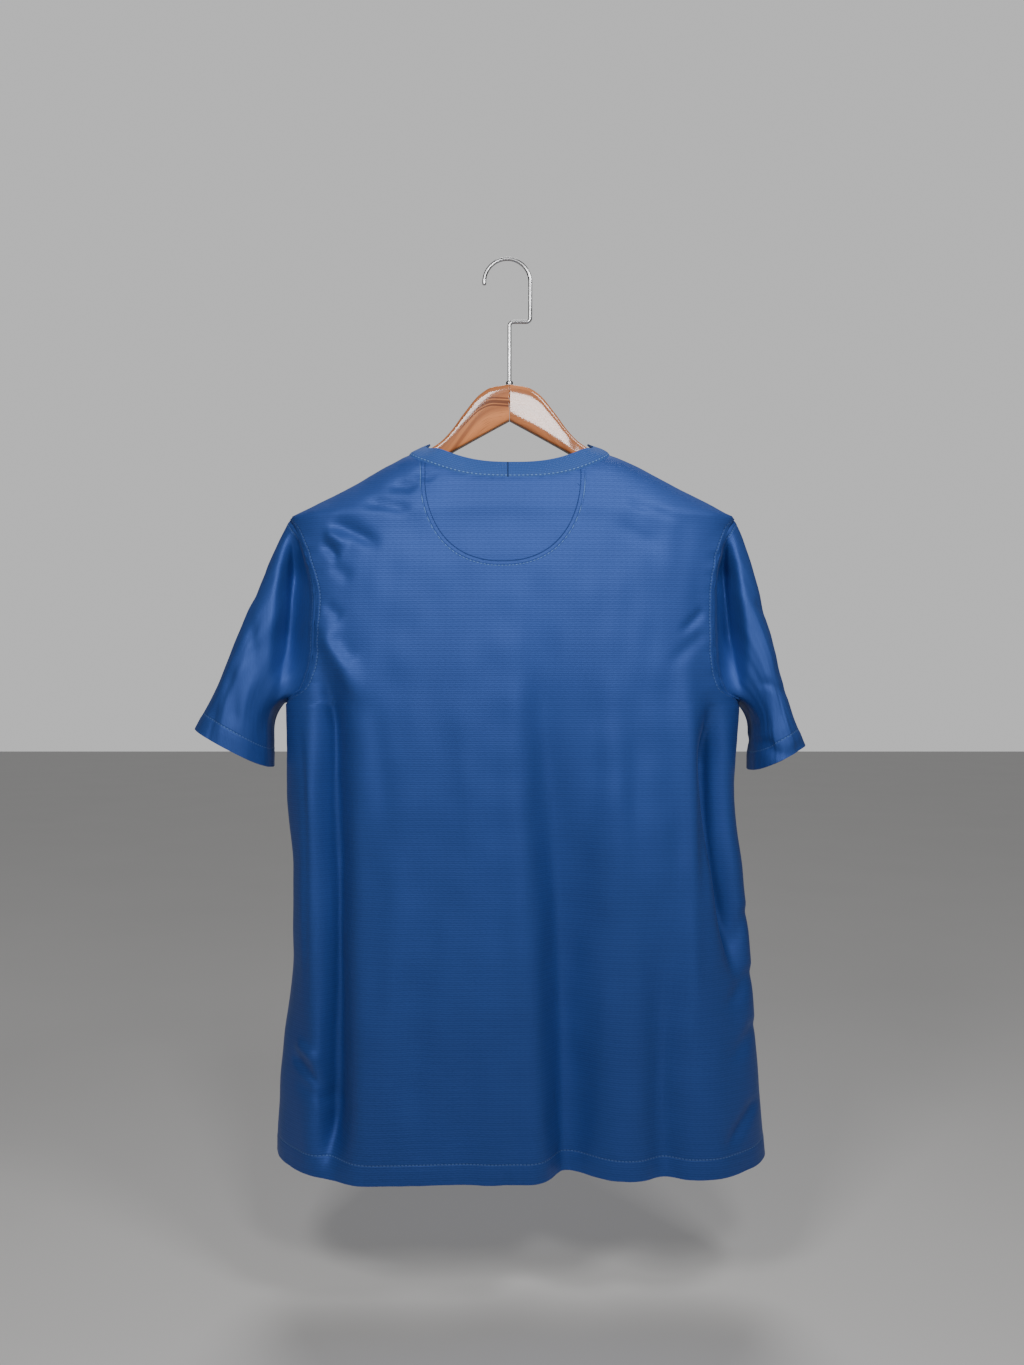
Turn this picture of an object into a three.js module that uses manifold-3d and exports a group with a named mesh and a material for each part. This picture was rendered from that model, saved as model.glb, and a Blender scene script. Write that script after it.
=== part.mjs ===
import * as THREE from 'three';
import { mergeVertices } from 'three/addons/utils/BufferGeometryUtils.js';
import Module from 'manifold-3d';

// A short-sleeved football jersey hanging on a wooden hanger.
// Millimetres, +Z up, -Y is the back of the garment, +X is the wearer's right.
// The origin is the underside of the hook's crown.

const wasm = await Module();
wasm.setup();

// Driving sizes
const WALL = 1.5;
const SEAM = 0.3;
const TIP_LEVEL = -256.5;
const ARMPIT_LEVEL = -441;
const NECK_LEVEL = -191.5;
const HEM_LEVEL = -897;
const HEM_RISE = 9;
const NECK_DIP = {
  back: { drop: 31, flat: 3, power: 0.62, lowPower: 1.6, pinch: 1.6 },
  front: { drop: 94, flat: 2.6, power: 0.75, lowPower: 2, pinch: 1 },
};
const NECK_FADE_LEVEL = -400;

// A table's rows as objects, each value under the name of its column
function table(names, rows) {
  const columns = names.split(' ');
  return rows.map((row) => Object.fromEntries(columns.map((name, i) => [name, row[i]])));
}

// One row for each level of the body: the two sides, the depth of the side or shoulder
// seams, the back and the front, and how square the section is on the left and right
const LEVELS = table('z left right seamLeft seamRight back front squareLeft squareRight', [
  [-180, -76, 74, 1, 1, -28, 32, 2.2, 2.2],
  [-191.5, -97, 95.5, 2, 2, -33, 39, 2.3, 2.3],
  [-209, -128, 133, 5, 5, -37, 44, 2.4, 2.4],
  [-231.5, -170, 177.5, 10, 10, -41, 49, 2.4, 2.4],
  [-243, -194.5, 201.5, 13, 13, -43, 52, 2.4, 2.4],
  [-254, -217, 222.5, 15.5, 15.5, -44, 54, 2.5, 2.5],
  [-256.5, -222, 227.5, 16, 16, -44, 54, 2.5, 2.5],
  [-310, -223, 228.5, 14, 14, -49, 60, 2.6, 2.6],
  [-441, -223.5, 230, 12, 10, -57, 68, 2.8, 2.8],
  [-530, -223.5, 224.5, 12, 8, -59, 70, 2.8, 2.8],
  [-607, -216, 232, 14, 9, -60, 70, 2.8, 2.8],
  [-691, -218, 239.5, 20, 10, -61, 70, 2.8, 2.8],
  [-788, -230, 246.5, 30, 11, -61, 63, 2.9, 2.8],
  [-910, -237, 258, 38, 12, -63, 58, 3, 2.8],
]);

// Armhole edges on the back and the front of the body
const ARMHOLES = table('z backLeft backRight frontLeft frontRight', [
  [-256.5, -222, 227.5, -222, 227.5],
  [-270, -212, 217, -210, 215],
  [-297, -200, 206.5, -195, 200],
  [-340, -189, 200, -182, 188],
  [-392, -191, 199.5, -183, 189],
  [-426, -201, 206.5, -198, 203],
  [-441, -223.5, 230, -223.5, 230],
]);

// Folds: a trough (or a ridge, where depth is below zero) along a slightly bowed line
// from one point to another, with its reach to the left and right of that line
const FOLD_COLUMNS = 'name x1 z1 x2 z2 bow depth left right top low';
const BACK_FOLDS = table(FOLD_COLUMNS, [
  ['left valley', -180, -385, -168, -900, 11, 17, 9, 16, 0.16, 0.12],
  ['left ridge', -197, -430, -196, -780, 0, -4, 9, 9, 0.3, 0.3],
  ['left lobe', -140, -560, -142, -1000, 0, -9, 34, 50, 0.75, 0.1],
  ['shoulder ridge', -190, -350, -138, -450, 0, -5, 9, 12, 0.35, 0.35],
  ['middle valley', -6, -300, 66, -960, 13, 27, 22, 55, 0.9, 0.02],
  ['soft valley', 136, -560, 150, -920, 0, 6, 18, 20, 0.35, 0.2],
  ['right ridge', 172, -380, 174, -800, 2, -5, 12, 10, 0.25, 0.25],
  ['right valley', 196, -425, 231, -735, -8, 22, 9, 9, 0.25, 0.35],
  ['right hem lobe', 200, -700, 196, -1000, 0, -6, 36, 26, 0.5, 0.1],
]);

const FRONT_FOLDS = table(FOLD_COLUMNS, [
  ['left valley', -170, -370, -152, -860, -8, 18, 15, 12, 0.18, 0.18],
  ['left middle valley', -70, -420, -86, -980, 10, 15, 38, 24, 0.6, 0.1],
  ['right middle valley', 40, -330, 72, -980, -9, 17, 24, 40, 0.6, 0.1],
  ['right valley', 176, -380, 168, -830, 9, 19, 12, 15, 0.18, 0.18],
]);

// A smooth curve through one column of a table, never past its rows' values
function track(rows, column, at, axis = 'z') {
  const down = rows[0][axis] > rows[rows.length - 1][axis];
  const order = down ? -1 : 1;
  const place = order * at;
  const last = rows.length - 1;
  if (place <= order * rows[0][axis]) return rows[0][column];
  if (place >= order * rows[last][axis]) return rows[last][column];
  let i = 0;
  while (place > order * rows[i + 1][axis]) i += 1;
  const span = (k) => order * (rows[k + 1][axis] - rows[k][axis]);
  const rise = (k) => (rows[k + 1][column] - rows[k][column]) / span(k);
  const slope = (k) => {
    if (k === 0) return rise(0);
    if (k === last) return rise(last - 1);
    const before = rise(k - 1);
    const after = rise(k);
    return before * after <= 0 ? 0 : (2 * before * after) / (before + after);
  };
  const h = span(i);
  const t = (place - order * rows[i][axis]) / h;
  const [a, b] = [rows[i][column], rows[i + 1][column]];
  return a * (1 + 2 * t) * (1 - t) ** 2 + b * t * t * (3 - 2 * t)
    + slope(i) * h * t * (1 - t) ** 2 - slope(i + 1) * h * t * t * (1 - t);
}

function smoothstep(t) {
  const c = Math.min(Math.max(t, 0), 1);
  return c * c * (3 - 2 * c);
}

// How far the folds push the cloth inwards at a point of the back or the front
function foldDepth(folds, x, z) {
  let sum = 0;
  for (const f of folds) {
    const [dx, dz] = [f.x2 - f.x1, f.z2 - f.z1];
    const long = Math.hypot(dx, dz);
    const t = ((x - f.x1) * dx + (z - f.z1) * dz) / long ** 2;
    if (t <= 0 || t >= 1) continue;
    const aside = ((x - f.x1) * -dz + (z - f.z1) * dx) / long - f.bow * 4 * t * (1 - t);
    const reach = aside < 0 ? f.left : f.right;
    const ends = smoothstep(t / f.top) * smoothstep((1 - t) / f.low);
    sum += f.depth * ends * Math.exp(-((aside / reach) ** 2));
  }
  return sum;
}

// The body's section at one level, as a closed ring of points. p runs -1..1 across the back
// from left to right, and 1..3 across the front from right to left.
const RING_STEPS = 90;
const SEAM_WINDOW = 0.03;
const LEVEL_COLUMNS = Object.keys(LEVELS[0]).filter((column) => column !== 'z');

function levelSizes(z) {
  return Object.fromEntries(LEVEL_COLUMNS.map((column) => [column, track(LEVELS, column, z)]));
}

function sectionPoint(size, p) {
  const across = Math.sin((p * Math.PI) / 2);
  const x = (size.left + size.right) / 2 + (across * (size.right - size.left)) / 2;
  const seam = size.seamLeft + ((size.seamRight - size.seamLeft) * (across + 1)) / 2;
  const face = Math.cos((p * Math.PI) / 2) >= 0 ? size.back : size.front;
  const square = across < 0 ? size.squareLeft : size.squareRight;
  const bulge = Math.max(1 - Math.abs(across) ** square, 0) ** (1 / square);
  return [x, seam + (face - seam) * bulge];
}

function section(z) {
  const size = levelSizes(z);
  const count = 4 * RING_STEPS;
  const turns = Array.from({ length: count }, (_, i) => -1 + i / RING_STEPS);
  const plain = turns.map((p) => sectionPoint(size, p));
  const places = plain.map(([x, y], i) => {
    const before = plain[(i + count - 1) % count];
    const after = plain[(i + 1) % count];
    const [tx, ty] = [after[0] - before[0], after[1] - before[1]];
    const across = Math.abs(Math.sin((turns[i] * Math.PI) / 2));
    const folds = turns[i] < 1 ? BACK_FOLDS : FRONT_FOLDS;
    const push = foldDepth(folds, x, z) * smoothstep((1 - across) / SEAM_WINDOW);
    const step = Math.hypot(tx, ty);
    return [x - (ty / step) * push, y + (tx / step) * push];
  });
  const runs = [0];
  for (let i = 1; i <= count; i += 1) {
    const [here, before] = [places[i % count], places[i - 1]];
    runs.push(runs[i - 1] + Math.hypot(here[0] - before[0], here[1] - before[1]));
  }
  return { places, runs, girth: runs[count] };
}

// Where the edges of a panel lie on the section, as its p values
function panelEdges(side, z) {
  if (z >= TIP_LEVEL || z <= ARMPIT_LEVEL) return side === 'back' ? [-1, 1] : [1, 3];
  const [left, right] = [track(LEVELS, 'left', z), track(LEVELS, 'right', z)];
  const across = (x) => Math.min(Math.max((2 * x - left - right) / (right - left), -1), 1);
  const turn = (column) => (Math.asin(across(track(ARMHOLES, column, z))) * 2) / Math.PI;
  if (side === 'back') return [turn('backLeft'), turn('backRight')];
  return [2 - turn('frontRight'), 2 - turn('frontLeft')];
}

function runAt(level, p) {
  const count = level.places.length;
  const spot = (p + 1) * RING_STEPS;
  const i = Math.min(Math.floor(spot), count - 1);
  return level.runs[i] + (level.runs[i + 1] - level.runs[i]) * (spot - i);
}

function placeAt(level, run) {
  const wrapped = ((run % level.girth) + level.girth) % level.girth;
  const count = level.places.length;
  let [low, high] = [0, count - 1];
  while (low < high) {
    const middle = (low + high + 1) >> 1;
    if (level.runs[middle] <= wrapped) low = middle;
    else high = middle - 1;
  }
  const [here, there] = [level.places[low], level.places[(low + 1) % count]];
  const t = (wrapped - level.runs[low]) / (level.runs[low + 1] - level.runs[low]);
  return [0, 1].map((k) => here[k] + (there[k] - here[k]) * t);
}

// Sections are worked out once for each half millimetre of height and blended between
const SECTIONS = new Map();
const SECTION_STEP = 0.5;

function sectionNumber(k) {
  if (!SECTIONS.has(k)) SECTIONS.set(k, section(k * SECTION_STEP));
  return SECTIONS.get(k);
}

// Where an armhole cuts a panel short, the columns near that edge are squeezed
const SQUEEZE = 0.85;
const HALVES = { back: [-1, 1], front: [1, 3] };

function atLevel(z, measure) {
  const lower = Math.floor(z / SECTION_STEP);
  const t = z / SECTION_STEP - lower;
  const [a, b] = [lower, lower + 1].map((k) => measure(sectionNumber(k)));
  return a.map((value, k) => value + (b[k] - value) * t);
}

function halfLength(side, z) {
  const [from, to] = HALVES[side];
  return atLevel(z, (level) => [runAt(level, to) - runAt(level, from)])[0];
}

// A point of a panel: u runs -1..1 across it, by length along the cloth of the whole half,
// drawn in to a share of that length and short of the edges by `trim`
function panelPoint(side, u, z, share, trim) {
  const edges = panelEdges(side, z);
  const near = [(u + 1) / SQUEEZE, (1 - u) / SQUEEZE].map((q) => Math.max(1 - q, 0) ** 2);
  const [x, y] = atLevel(z, (level) => {
    const [from, to] = HALVES[side].map((p) => runAt(level, p));
    const [first, last] = edges.map((p) => runAt(level, p));
    const even = from + ((u * share + 1) / 2) * (to - from) - trim * u;
    return placeAt(level, even + (first - from) * near[0] + (last - to) * near[1]);
  });
  return new THREE.Vector3(x, y, z);
}

// How far a row dips towards the neckline, fading down the body
function neckDip(side, u, edge) {
  const { drop, flat, power, lowPower } = NECK_DIP[side];
  const near = smoothstep((edge - NECK_FADE_LEVEL) / (NECK_LEVEL - NECK_FADE_LEVEL));
  const below = smoothstep((NECK_LEVEL - edge) / (NECK_LEVEL - TIP_LEVEL));
  const bend = power + (lowPower - power) * below;
  return drop * Math.max(1 - Math.abs(u) ** flat, 0) ** bend * near;
}

// The level of a row at a place across it: the dip, and the hem's small rise at the sides
function rowLevel(side, u, edge) {
  const low = smoothstep((ARMPIT_LEVEL - edge) / (ARMPIT_LEVEL - HEM_LEVEL));
  return edge - neckDip(side, u, edge) + HEM_RISE * low * Math.abs(u) ** 5;
}

// How far the columns of a row are drawn in where it dips into wider sections
function neckShare(side, u, edge) {
  const dip = neckDip(side, u, edge);
  if (dip === 0) return 1;
  return (halfLength(side, edge) / halfLength(side, edge - dip)) ** NECK_DIP[side].pinch;
}

// Outward normals of a grid of points, from the surface function around each point
function surfaceNormal(surface, s, t, ds, dt) {
  const a = surface(s + ds, t).sub(surface(s - ds, t));
  const b = surface(s, t + dt).sub(surface(s, t - dt));
  return a.cross(b).normalize();
}

// A closed wall from a grid of outer points and their normals. Its columns join up where
// `round` is set; otherwise it has four edges.
function wallGeometry(outer, normals, thick, round) {
  const [rows, columns] = [outer.length, outer[0].length];
  const positions = [];
  const index = [];
  const put = (point) => positions.push(point.x, point.y, point.z);
  outer.forEach((row) => row.forEach(put));
  outer.forEach((row, r) => row.forEach((point, c) => {
    put(point.clone().addScaledVector(normals[r][c], -thick));
  }));
  const outside = (r, c) => r * columns + (c % columns);
  const inside = (r, c) => rows * columns + outside(r, c);
  const quad = (a, b, c, d) => index.push(a, b, c, a, c, d);
  const last = round ? columns : columns - 1;
  for (let r = 0; r < rows - 1; r += 1) {
    for (let c = 0; c < last; c += 1) {
      quad(outside(r, c), outside(r, c + 1), outside(r + 1, c + 1), outside(r + 1, c));
      quad(inside(r, c), inside(r + 1, c), inside(r + 1, c + 1), inside(r, c + 1));
    }
  }
  for (let c = 0; c < last; c += 1) {
    quad(outside(0, c), inside(0, c), inside(0, c + 1), outside(0, c + 1));
    const end = rows - 1;
    quad(outside(end, c), outside(end, c + 1), inside(end, c + 1), inside(end, c));
  }
  if (!round) {
    for (let r = 0; r < rows - 1; r += 1) {
      quad(outside(r, 0), outside(r + 1, 0), inside(r + 1, 0), inside(r, 0));
      quad(outside(r, last), inside(r, last), inside(r + 1, last), outside(r + 1, last));
    }
  }
  const geometry = new THREE.BufferGeometry();
  geometry.setAttribute('position', new THREE.Float32BufferAttribute(positions, 3));
  geometry.setIndex(index);
  return geometry;
}

// Places from -1 to 1, closer together where the cloth is busy
function spread(count, busy, gain, reach) {
  const fine = 20 * count;
  const near = (u) => Math.max(...busy.map((at) => Math.exp(-(((u - at) / reach) ** 2))));
  const weight = (u) => 1 + gain * near(u);
  const sums = [0];
  for (let i = 0; i < fine; i += 1) sums.push(sums[i] + weight(-1 + (2 * i + 1) / fine));
  const places = [];
  let i = 0;
  for (let k = 0; k <= count; k += 1) {
    const goal = (sums[fine] * k) / count;
    while (i < fine - 1 && sums[i + 1] < goal) i += 1;
    const t = (goal - sums[i]) / (sums[i + 1] - sums[i]);
    places.push(Math.min(Math.max(-1 + (2 * (i + t)) / fine, -1), 1));
  }
  return places;
}

// Levels of the rows along the armhole, from the shoulder tip at 0 down to the armpit
const ARMHOLE_ROWS = 8;

function armholeLevel(row) {
  const down = (1 - Math.cos((Math.PI * row) / ARMHOLE_ROWS)) / 2;
  return TIP_LEVEL + (ARMPIT_LEVEL - TIP_LEVEL) * down;
}

// Edge levels of the rows, from the hem up to the neck
function rowEdges(lower, shoulder) {
  const rows = [];
  for (let i = 0; i < lower; i += 1) {
    rows.push(HEM_LEVEL + ((ARMPIT_LEVEL - HEM_LEVEL) * i) / lower);
  }
  for (let i = 0; i < ARMHOLE_ROWS; i += 1) rows.push(armholeLevel(ARMHOLE_ROWS - i));
  for (let i = 0; i <= shoulder; i += 1) {
    rows.push(TIP_LEVEL + ((NECK_LEVEL - TIP_LEVEL) * i) / shoulder);
  }
  return rows;
}

// A panel's surface by place across and edge level, short of its edges by `trim`
function panelSurface(side, trim) {
  return (u, edge) => {
    const held = Math.min(Math.max(u, -1), 1);
    const share = neckShare(side, held, edge);
    return panelPoint(side, u, rowLevel(side, held, edge), share, trim);
  };
}

const NORMAL_STEP = { u: 0.006, level: 1 };

function panelNormal(side, u, edge) {
  const surface = panelSurface(side, SEAM / 2);
  return surfaceNormal(surface, u, edge, NORMAL_STEP.u, NORMAL_STEP.level);
}

function panelGeometry(side, places, edges) {
  const surface = panelSurface(side, SEAM / 2);
  const outer = edges.map((edge) => places.map((u) => surface(u, edge)));
  const normals = edges.map((edge) => places.map((u) => panelNormal(side, u, edge)));
  return wallGeometry(outer, normals, WALL, false);
}

// Booleans
function toManifold(geometry) {
  const bare = geometry.clone();
  bare.deleteAttribute('normal');
  bare.deleteAttribute('uv');
  const merged = mergeVertices(bare, 1e-4);
  const mesh = new wasm.Mesh({
    numProp: 3,
    vertProperties: new Float32Array(merged.attributes.position.array),
    triVerts: new Uint32Array(merged.index.array),
  });
  mesh.merge();
  return new wasm.Manifold(mesh);
}

function toGeometry(solid) {
  const mesh = solid.getMesh();
  const geometry = new THREE.BufferGeometry();
  geometry.setAttribute('position', new THREE.Float32BufferAttribute(mesh.vertProperties, 3));
  geometry.setIndex(Array.from(mesh.triVerts));
  return geometry;
}

const parts = new THREE.Group();

function addMesh(name, geometry, finish) {
  const mesh = new THREE.Mesh(geometry, new THREE.MeshStandardMaterial(finish));
  mesh.name = name;
  parts.add(mesh);
}

const KNIT = { color: 0x2f5b9c, roughness: 0.8, metalness: 0 };
const RIB = { color: 0x32619f, roughness: 0.85, metalness: 0 };
const WOOD = { color: 0xb9825c, roughness: 0.45, metalness: 0 };
const STEEL = { color: 0xb4b6b8, roughness: 0.3, metalness: 1 };

// Columns and rows of the panels, closer together at the folds beside the armholes
const BACK_PLACES = spread(40, [-0.62, 0.72], 1.2, 0.16);
const FRONT_PLACES = spread(30, [-0.62, 0.62], 1, 0.16);

// The half-moon at the back neck: a prism through the back wall, shrunk or grown by `grow`
const YOKE = { middle: -6.6, half: 76, top: -214, tall: 91, power: 2.3, steps: 26 };
const YOKE_PRISM = { above: 30, deep: 90 };

function yokePrism(grow) {
  const shape = new THREE.Shape();
  const wide = YOKE.half + grow;
  const deep = YOKE.tall + grow;
  const above = NECK_LEVEL + YOKE_PRISM.above;
  shape.moveTo(YOKE.middle - wide, above);
  for (let i = 0; i <= YOKE.steps; i += 1) {
    const turn = (Math.PI * i) / YOKE.steps;
    const across = Math.sign(Math.cos(turn)) * Math.abs(Math.cos(turn)) ** (2 / YOKE.power);
    const down = Math.max(Math.sin(turn), 0) ** (2 / YOKE.power);
    shape.lineTo(YOKE.middle - wide * across, YOKE.top - deep * down);
  }
  shape.lineTo(YOKE.middle + wide, above);
  shape.closePath();
  const prism = new THREE.ExtrudeGeometry(shape, { depth: YOKE_PRISM.deep, bevelEnabled: false });
  prism.rotateX(Math.PI / 2);
  return prism;
}

const wholeBack = toManifold(panelGeometry('back', BACK_PLACES, rowEdges(14, 6)));
addMesh('back_panel', toGeometry(wholeBack.subtract(toManifold(yokePrism(SEAM / 2)))), KNIT);
addMesh('neck_yoke', toGeometry(wholeBack.intersect(toManifold(yokePrism(-SEAM / 2)))), KNIT);
addMesh('front_panel', panelGeometry('front', FRONT_PLACES, rowEdges(12, 6)), KNIT);

// Sleeves. s runs 0..1 from armhole to cuff: the outer top line, the underarm line, and how
// far the sleeve opens to the back and the front of the line between them
const SLEEVE_COLUMNS = 's topX topZ lowX lowZ middle back front';
const SLEEVES = {
  left: {
    rows: table(SLEEVE_COLUMNS, [
      [0, -222, -256.5, -223.5, -441, 15, 30, 36],
      [0.3, -247, -312, -236, -447, 11, 38, 44],
      [0.6, -273, -380, -240, -462, 8, 45, 50],
      [0.85, -295, -435, -239, -485, 5, 49, 55],
      [1, -312, -467, -239, -506, 3, 50, 58],
    ]),
    folds: table(FOLD_COLUMNS, [['valley', -221, -255, -238, -472, 0, 22, 6, 13, 0.16, 0.16]]),
  },
  right: {
    rows: table(SLEEVE_COLUMNS, [
      [0, 227.5, -256.5, 230, -441, 14, 30, 36],
      [0.3, 253, -330, 241, -449, 11, 38, 44],
      [0.6, 265, -395, 245, -464, 8, 46, 52],
      [0.85, 280, -452, 243, -486, 5, 51, 57],
      [1, 292, -483, 242, -509, 3, 53, 59],
    ]),
    folds: table(FOLD_COLUMNS, [['valley', 229, -255, 241, -480, 2, 24, 13, 6, 0.16, 0.16]]),
  },
};
const CUFF_TILT = 0.32;
const SLEEVE_SQUARE = 2.3;
const ROOT_REACH = 0.75;
const ROOT_CORNER_GAP = 0.5;
const ARMPIT_TURN = 1;
const SLEEVE_STEP = { turn: 0.01, s: 0.02 };
const FOLD_START = { s: 0.08, side: 0.35 };

// The sleeve's root: a loop of places and normals just outside the armhole's edge, a turn
// from 0 at the shoulder tip, down the back to 0.5 at the armpit and up the front to 1
const ROOTS = { left: rootLoop('left'), right: rootLoop('right') };

function rootLoop(hand) {
  const outward = hand === 'left' ? -1 : 1;
  return Array.from({ length: 2 * ARMHOLE_ROWS }, (_, i) => {
    const side = i <= ARMHOLE_ROWS ? 'back' : 'front';
    const edge = outward * (side === 'back' ? 1 : -1);
    const level = armholeLevel(i <= ARMHOLE_ROWS ? i : 2 * ARMHOLE_ROWS - i);
    const point = panelSurface(side, SEAM / 2)(edge, level);
    const normal = panelNormal(side, edge, level);
    const corner = i % ARMHOLE_ROWS === 0;
    if (corner) {
      point.copy(panelSurface(side, 0)(edge, level));
      normal.setY(0).normalize();
    }
    return { point, normal, corner };
  }).map((spot, i, loop) => {
    const before = loop[(i + loop.length - 1) % loop.length].point;
    const after = loop[(i + 1) % loop.length].point;
    const away = after.clone().sub(before).cross(spot.normal).normalize();
    const normal = spot.normal.clone();
    normal.z -= ARMPIT_TURN * Math.max(1 - Math.abs(i - ARMHOLE_ROWS) / 2, 0);
    const gap = spot.corner ? ROOT_CORNER_GAP : SEAM;
    const point = spot.point.clone().addScaledVector(away, hand === 'left' ? gap : -gap);
    return { point, normal: normal.normalize() };
  });
}

function rootAt(hand, turn, what) {
  const loop = ROOTS[hand];
  const spot = turn * loop.length;
  const i = Math.floor(spot) % loop.length;
  return loop[i][what].clone().lerp(loop[(i + 1) % loop.length][what], spot - Math.floor(spot));
}

function sleevePoint(hand, turn, s) {
  const { rows, folds } = SLEEVES[hand];
  const wrapped = turn - Math.floor(turn);
  const at = (column) => track(rows, column, s, 's');
  const angle = wrapped * 2 * Math.PI;
  const power = 2 / SLEEVE_SQUARE;
  const along = Math.sign(Math.cos(angle)) * Math.abs(Math.cos(angle)) ** power;
  const out = Math.abs(Math.sin(angle)) ** power * (wrapped <= 0.5 ? -at('back') : at('front'));
  const tube = new THREE.Vector3(
    (at('topX') + at('lowX')) / 2 + ((at('topX') - at('lowX')) / 2) * along,
    at('middle') + out,
    (at('topZ') + at('lowZ')) / 2 + ((at('topZ') - at('lowZ')) / 2) * along - CUFF_TILT * s * out,
  );
  const root = rootAt(hand, wrapped, 'point');
  const point = root.lerp(tube, 1 - (1 - Math.min(s / ROOT_REACH, 1)) ** 2);
  const inward = wrapped <= 0.5 ? 1 : -1;
  const free = smoothstep(s / FOLD_START.s)
    * smoothstep(Math.abs(Math.sin(angle)) / FOLD_START.side);
  point.y += inward * free * foldDepth(folds, point.x, point.z);
  return point;
}

function sleeveWall(hand, turns, rings) {
  const surface = (turn, s) => sleevePoint(hand, turn, s);
  const order = hand === 'left' ? -1 : 1;
  const outer = [];
  const normals = [];
  for (let r = 0; r <= rings; r += 1) {
    const s = r / rings;
    const own = Math.max(s, SLEEVE_STEP.s);
    const places = Array.from({ length: turns }, (_, c) => (order > 0 ? c : turns - c) / turns);
    outer.push(places.map((turn) => surface(turn, s)));
    normals.push(places.map((turn) => {
      if (r === 0) return rootAt(hand, turn - Math.floor(turn), 'normal').normalize();
      const { turn: dt, s: ds } = SLEEVE_STEP;
      return surfaceNormal(surface, turn, own, dt, ds).multiplyScalar(order);
    }));
  }
  return wallGeometry(outer, normals, WALL, true);
}

addMesh('sleeve_left', sleeveWall('left', 32, 11), KNIT);
addMesh('sleeve_right', sleeveWall('right', 32, 11), KNIT);

// Collar: a band of rib from the neckline seam, up and in over the neck opening. Its root
// follows the panels' neck edges, from the left neck point along the back and the front.
const COLLAR = { wide: 20, thick: 1.8, rings: 3, middle: 6, round: 2.2 };

// How far the band leans in over the neck opening, most at the shoulders
function collarLean(side, u) {
  if (side === 'front') return 0.5 + 0.38 * u ** 2;
  return 0.55 - 0.13 * u ** 2 + 0.46 * smoothstep((u - 0.8) / 0.2);
}

function neckLoop() {
  const stops = [
    ...BACK_PLACES.slice(0, -1).map((u) => ['back', u]),
    ...FRONT_PLACES.slice(0, -1).map((u) => ['front', u]),
  ];
  return stops.map(([side, u]) => ({
    lean: collarLean(side, Math.abs(u)),
    point: panelSurface(side, 0)(u, NECK_LEVEL),
    normal: panelNormal(side, u, NECK_LEVEL),
  }));
}

function collarWall() {
  const loop = neckLoop();
  const count = loop.length;
  const outer = Array.from({ length: COLLAR.rings }, () => []);
  const normals = Array.from({ length: COLLAR.rings }, () => []);
  loop.forEach(({ point, normal, lean }, i) => {
    const [after, before] = [loop[(i + 1) % count].point, loop[(i + count - 1) % count].point];
    const along = after.clone().sub(before).normalize();
    const away = normal.clone().cross(along).normalize();
    const inward = new THREE.Vector3(-point.x, (COLLAR.middle - point.y) * COLLAR.round, 0);
    const rise = inward.setLength(lean).setZ(Math.sqrt(1 - lean * lean));
    const face = along.clone().cross(rise).normalize();
    const root = point.clone().addScaledVector(away, SEAM);
    for (let r = 0; r < COLLAR.rings; r += 1) {
      const t = r / (COLLAR.rings - 1);
      outer[r].push(root.clone().addScaledVector(rise, t * COLLAR.wide));
      normals[r].push(r === 0 ? normal : face);
    }
  });
  return wallGeometry(outer, normals, COLLAR.thick, true);
}

addMesh('collar_band', collarWall(), RIB);

// Hanger arms: the upper and lower edges of the wood at a distance from the middle
const ARM = table('out top low forward thick', [
  [0, -125.5, -161.5, -4, 13],
  [17, -128, -170.5, -3.6, 13],
  [28.5, -134.3, -176.6, -3.2, 13],
  [46, -154.5, -186, -2.2, 13],
  [57, -169.5, -192, -1.4, 13],
  [68, -181, -198.5, -0.6, 12.5],
  [80, -188.8, -205.5, 0.4, 12.5],
  [98, -197.5, -215.5, 2, 12],
  [130, -214, -233, 5, 12],
  [174, -237, -255, 10, 11.5],
  [208, -253, -269, 14.5, 11],
  [216, -258, -270, 15.5, 8],
]);
const ARM_SIDES = 12;
const ARM_SOFTNESS = 0.6;

function armGeometry(hand) {
  const order = hand === 'left' ? -1 : 1;
  const outer = ARM.map((row) => {
    const out = Math.max(row.out, SEAM / 2);
    return Array.from({ length: ARM_SIDES }, (_, c) => {
      const angle = (order * 2 * Math.PI * (c + 0.5)) / ARM_SIDES;
      const soft = (value) => Math.sign(value) * Math.abs(value) ** ARM_SOFTNESS;
      const y = row.forward + (soft(Math.cos(angle)) * row.thick) / 2;
      const half = (row.top - row.low) / 2;
      const z = row.low + half + soft(Math.sin(angle)) * half;
      return new THREE.Vector3(order * out, y, z);
    });
  });
  return loftGeometry(outer);
}

// A solid from closed sections, capped at both ends
function loftGeometry(sections) {
  const sides = sections[0].length;
  const positions = sections.flat().flatMap((point) => [point.x, point.y, point.z]);
  const index = [];
  const at = (r, c) => r * sides + (c % sides);
  for (let r = 0; r < sections.length - 1; r += 1) {
    for (let c = 0; c < sides; c += 1) {
      index.push(at(r, c), at(r, c + 1), at(r + 1, c + 1));
      index.push(at(r, c), at(r + 1, c + 1), at(r + 1, c));
    }
  }
  const end = sections.length - 1;
  for (let c = 1; c < sides - 1; c += 1) {
    index.push(at(0, 0), at(0, c + 1), at(0, c));
    index.push(at(end, 0), at(end, c), at(end, c + 1));
  }
  const geometry = new THREE.BufferGeometry();
  geometry.setAttribute('position', new THREE.Float32BufferAttribute(positions, 3));
  geometry.setIndex(index);
  return geometry;
}

// Hook: one wire, from its shank in the wood, round an offset bend and over the crown
const WIRE = 3.8;
const CROWN = { middle: -2.25, radius: 23 };
const SHANK = { into: 18, bend: -61, aside: 20.75, corner: 4 };

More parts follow.
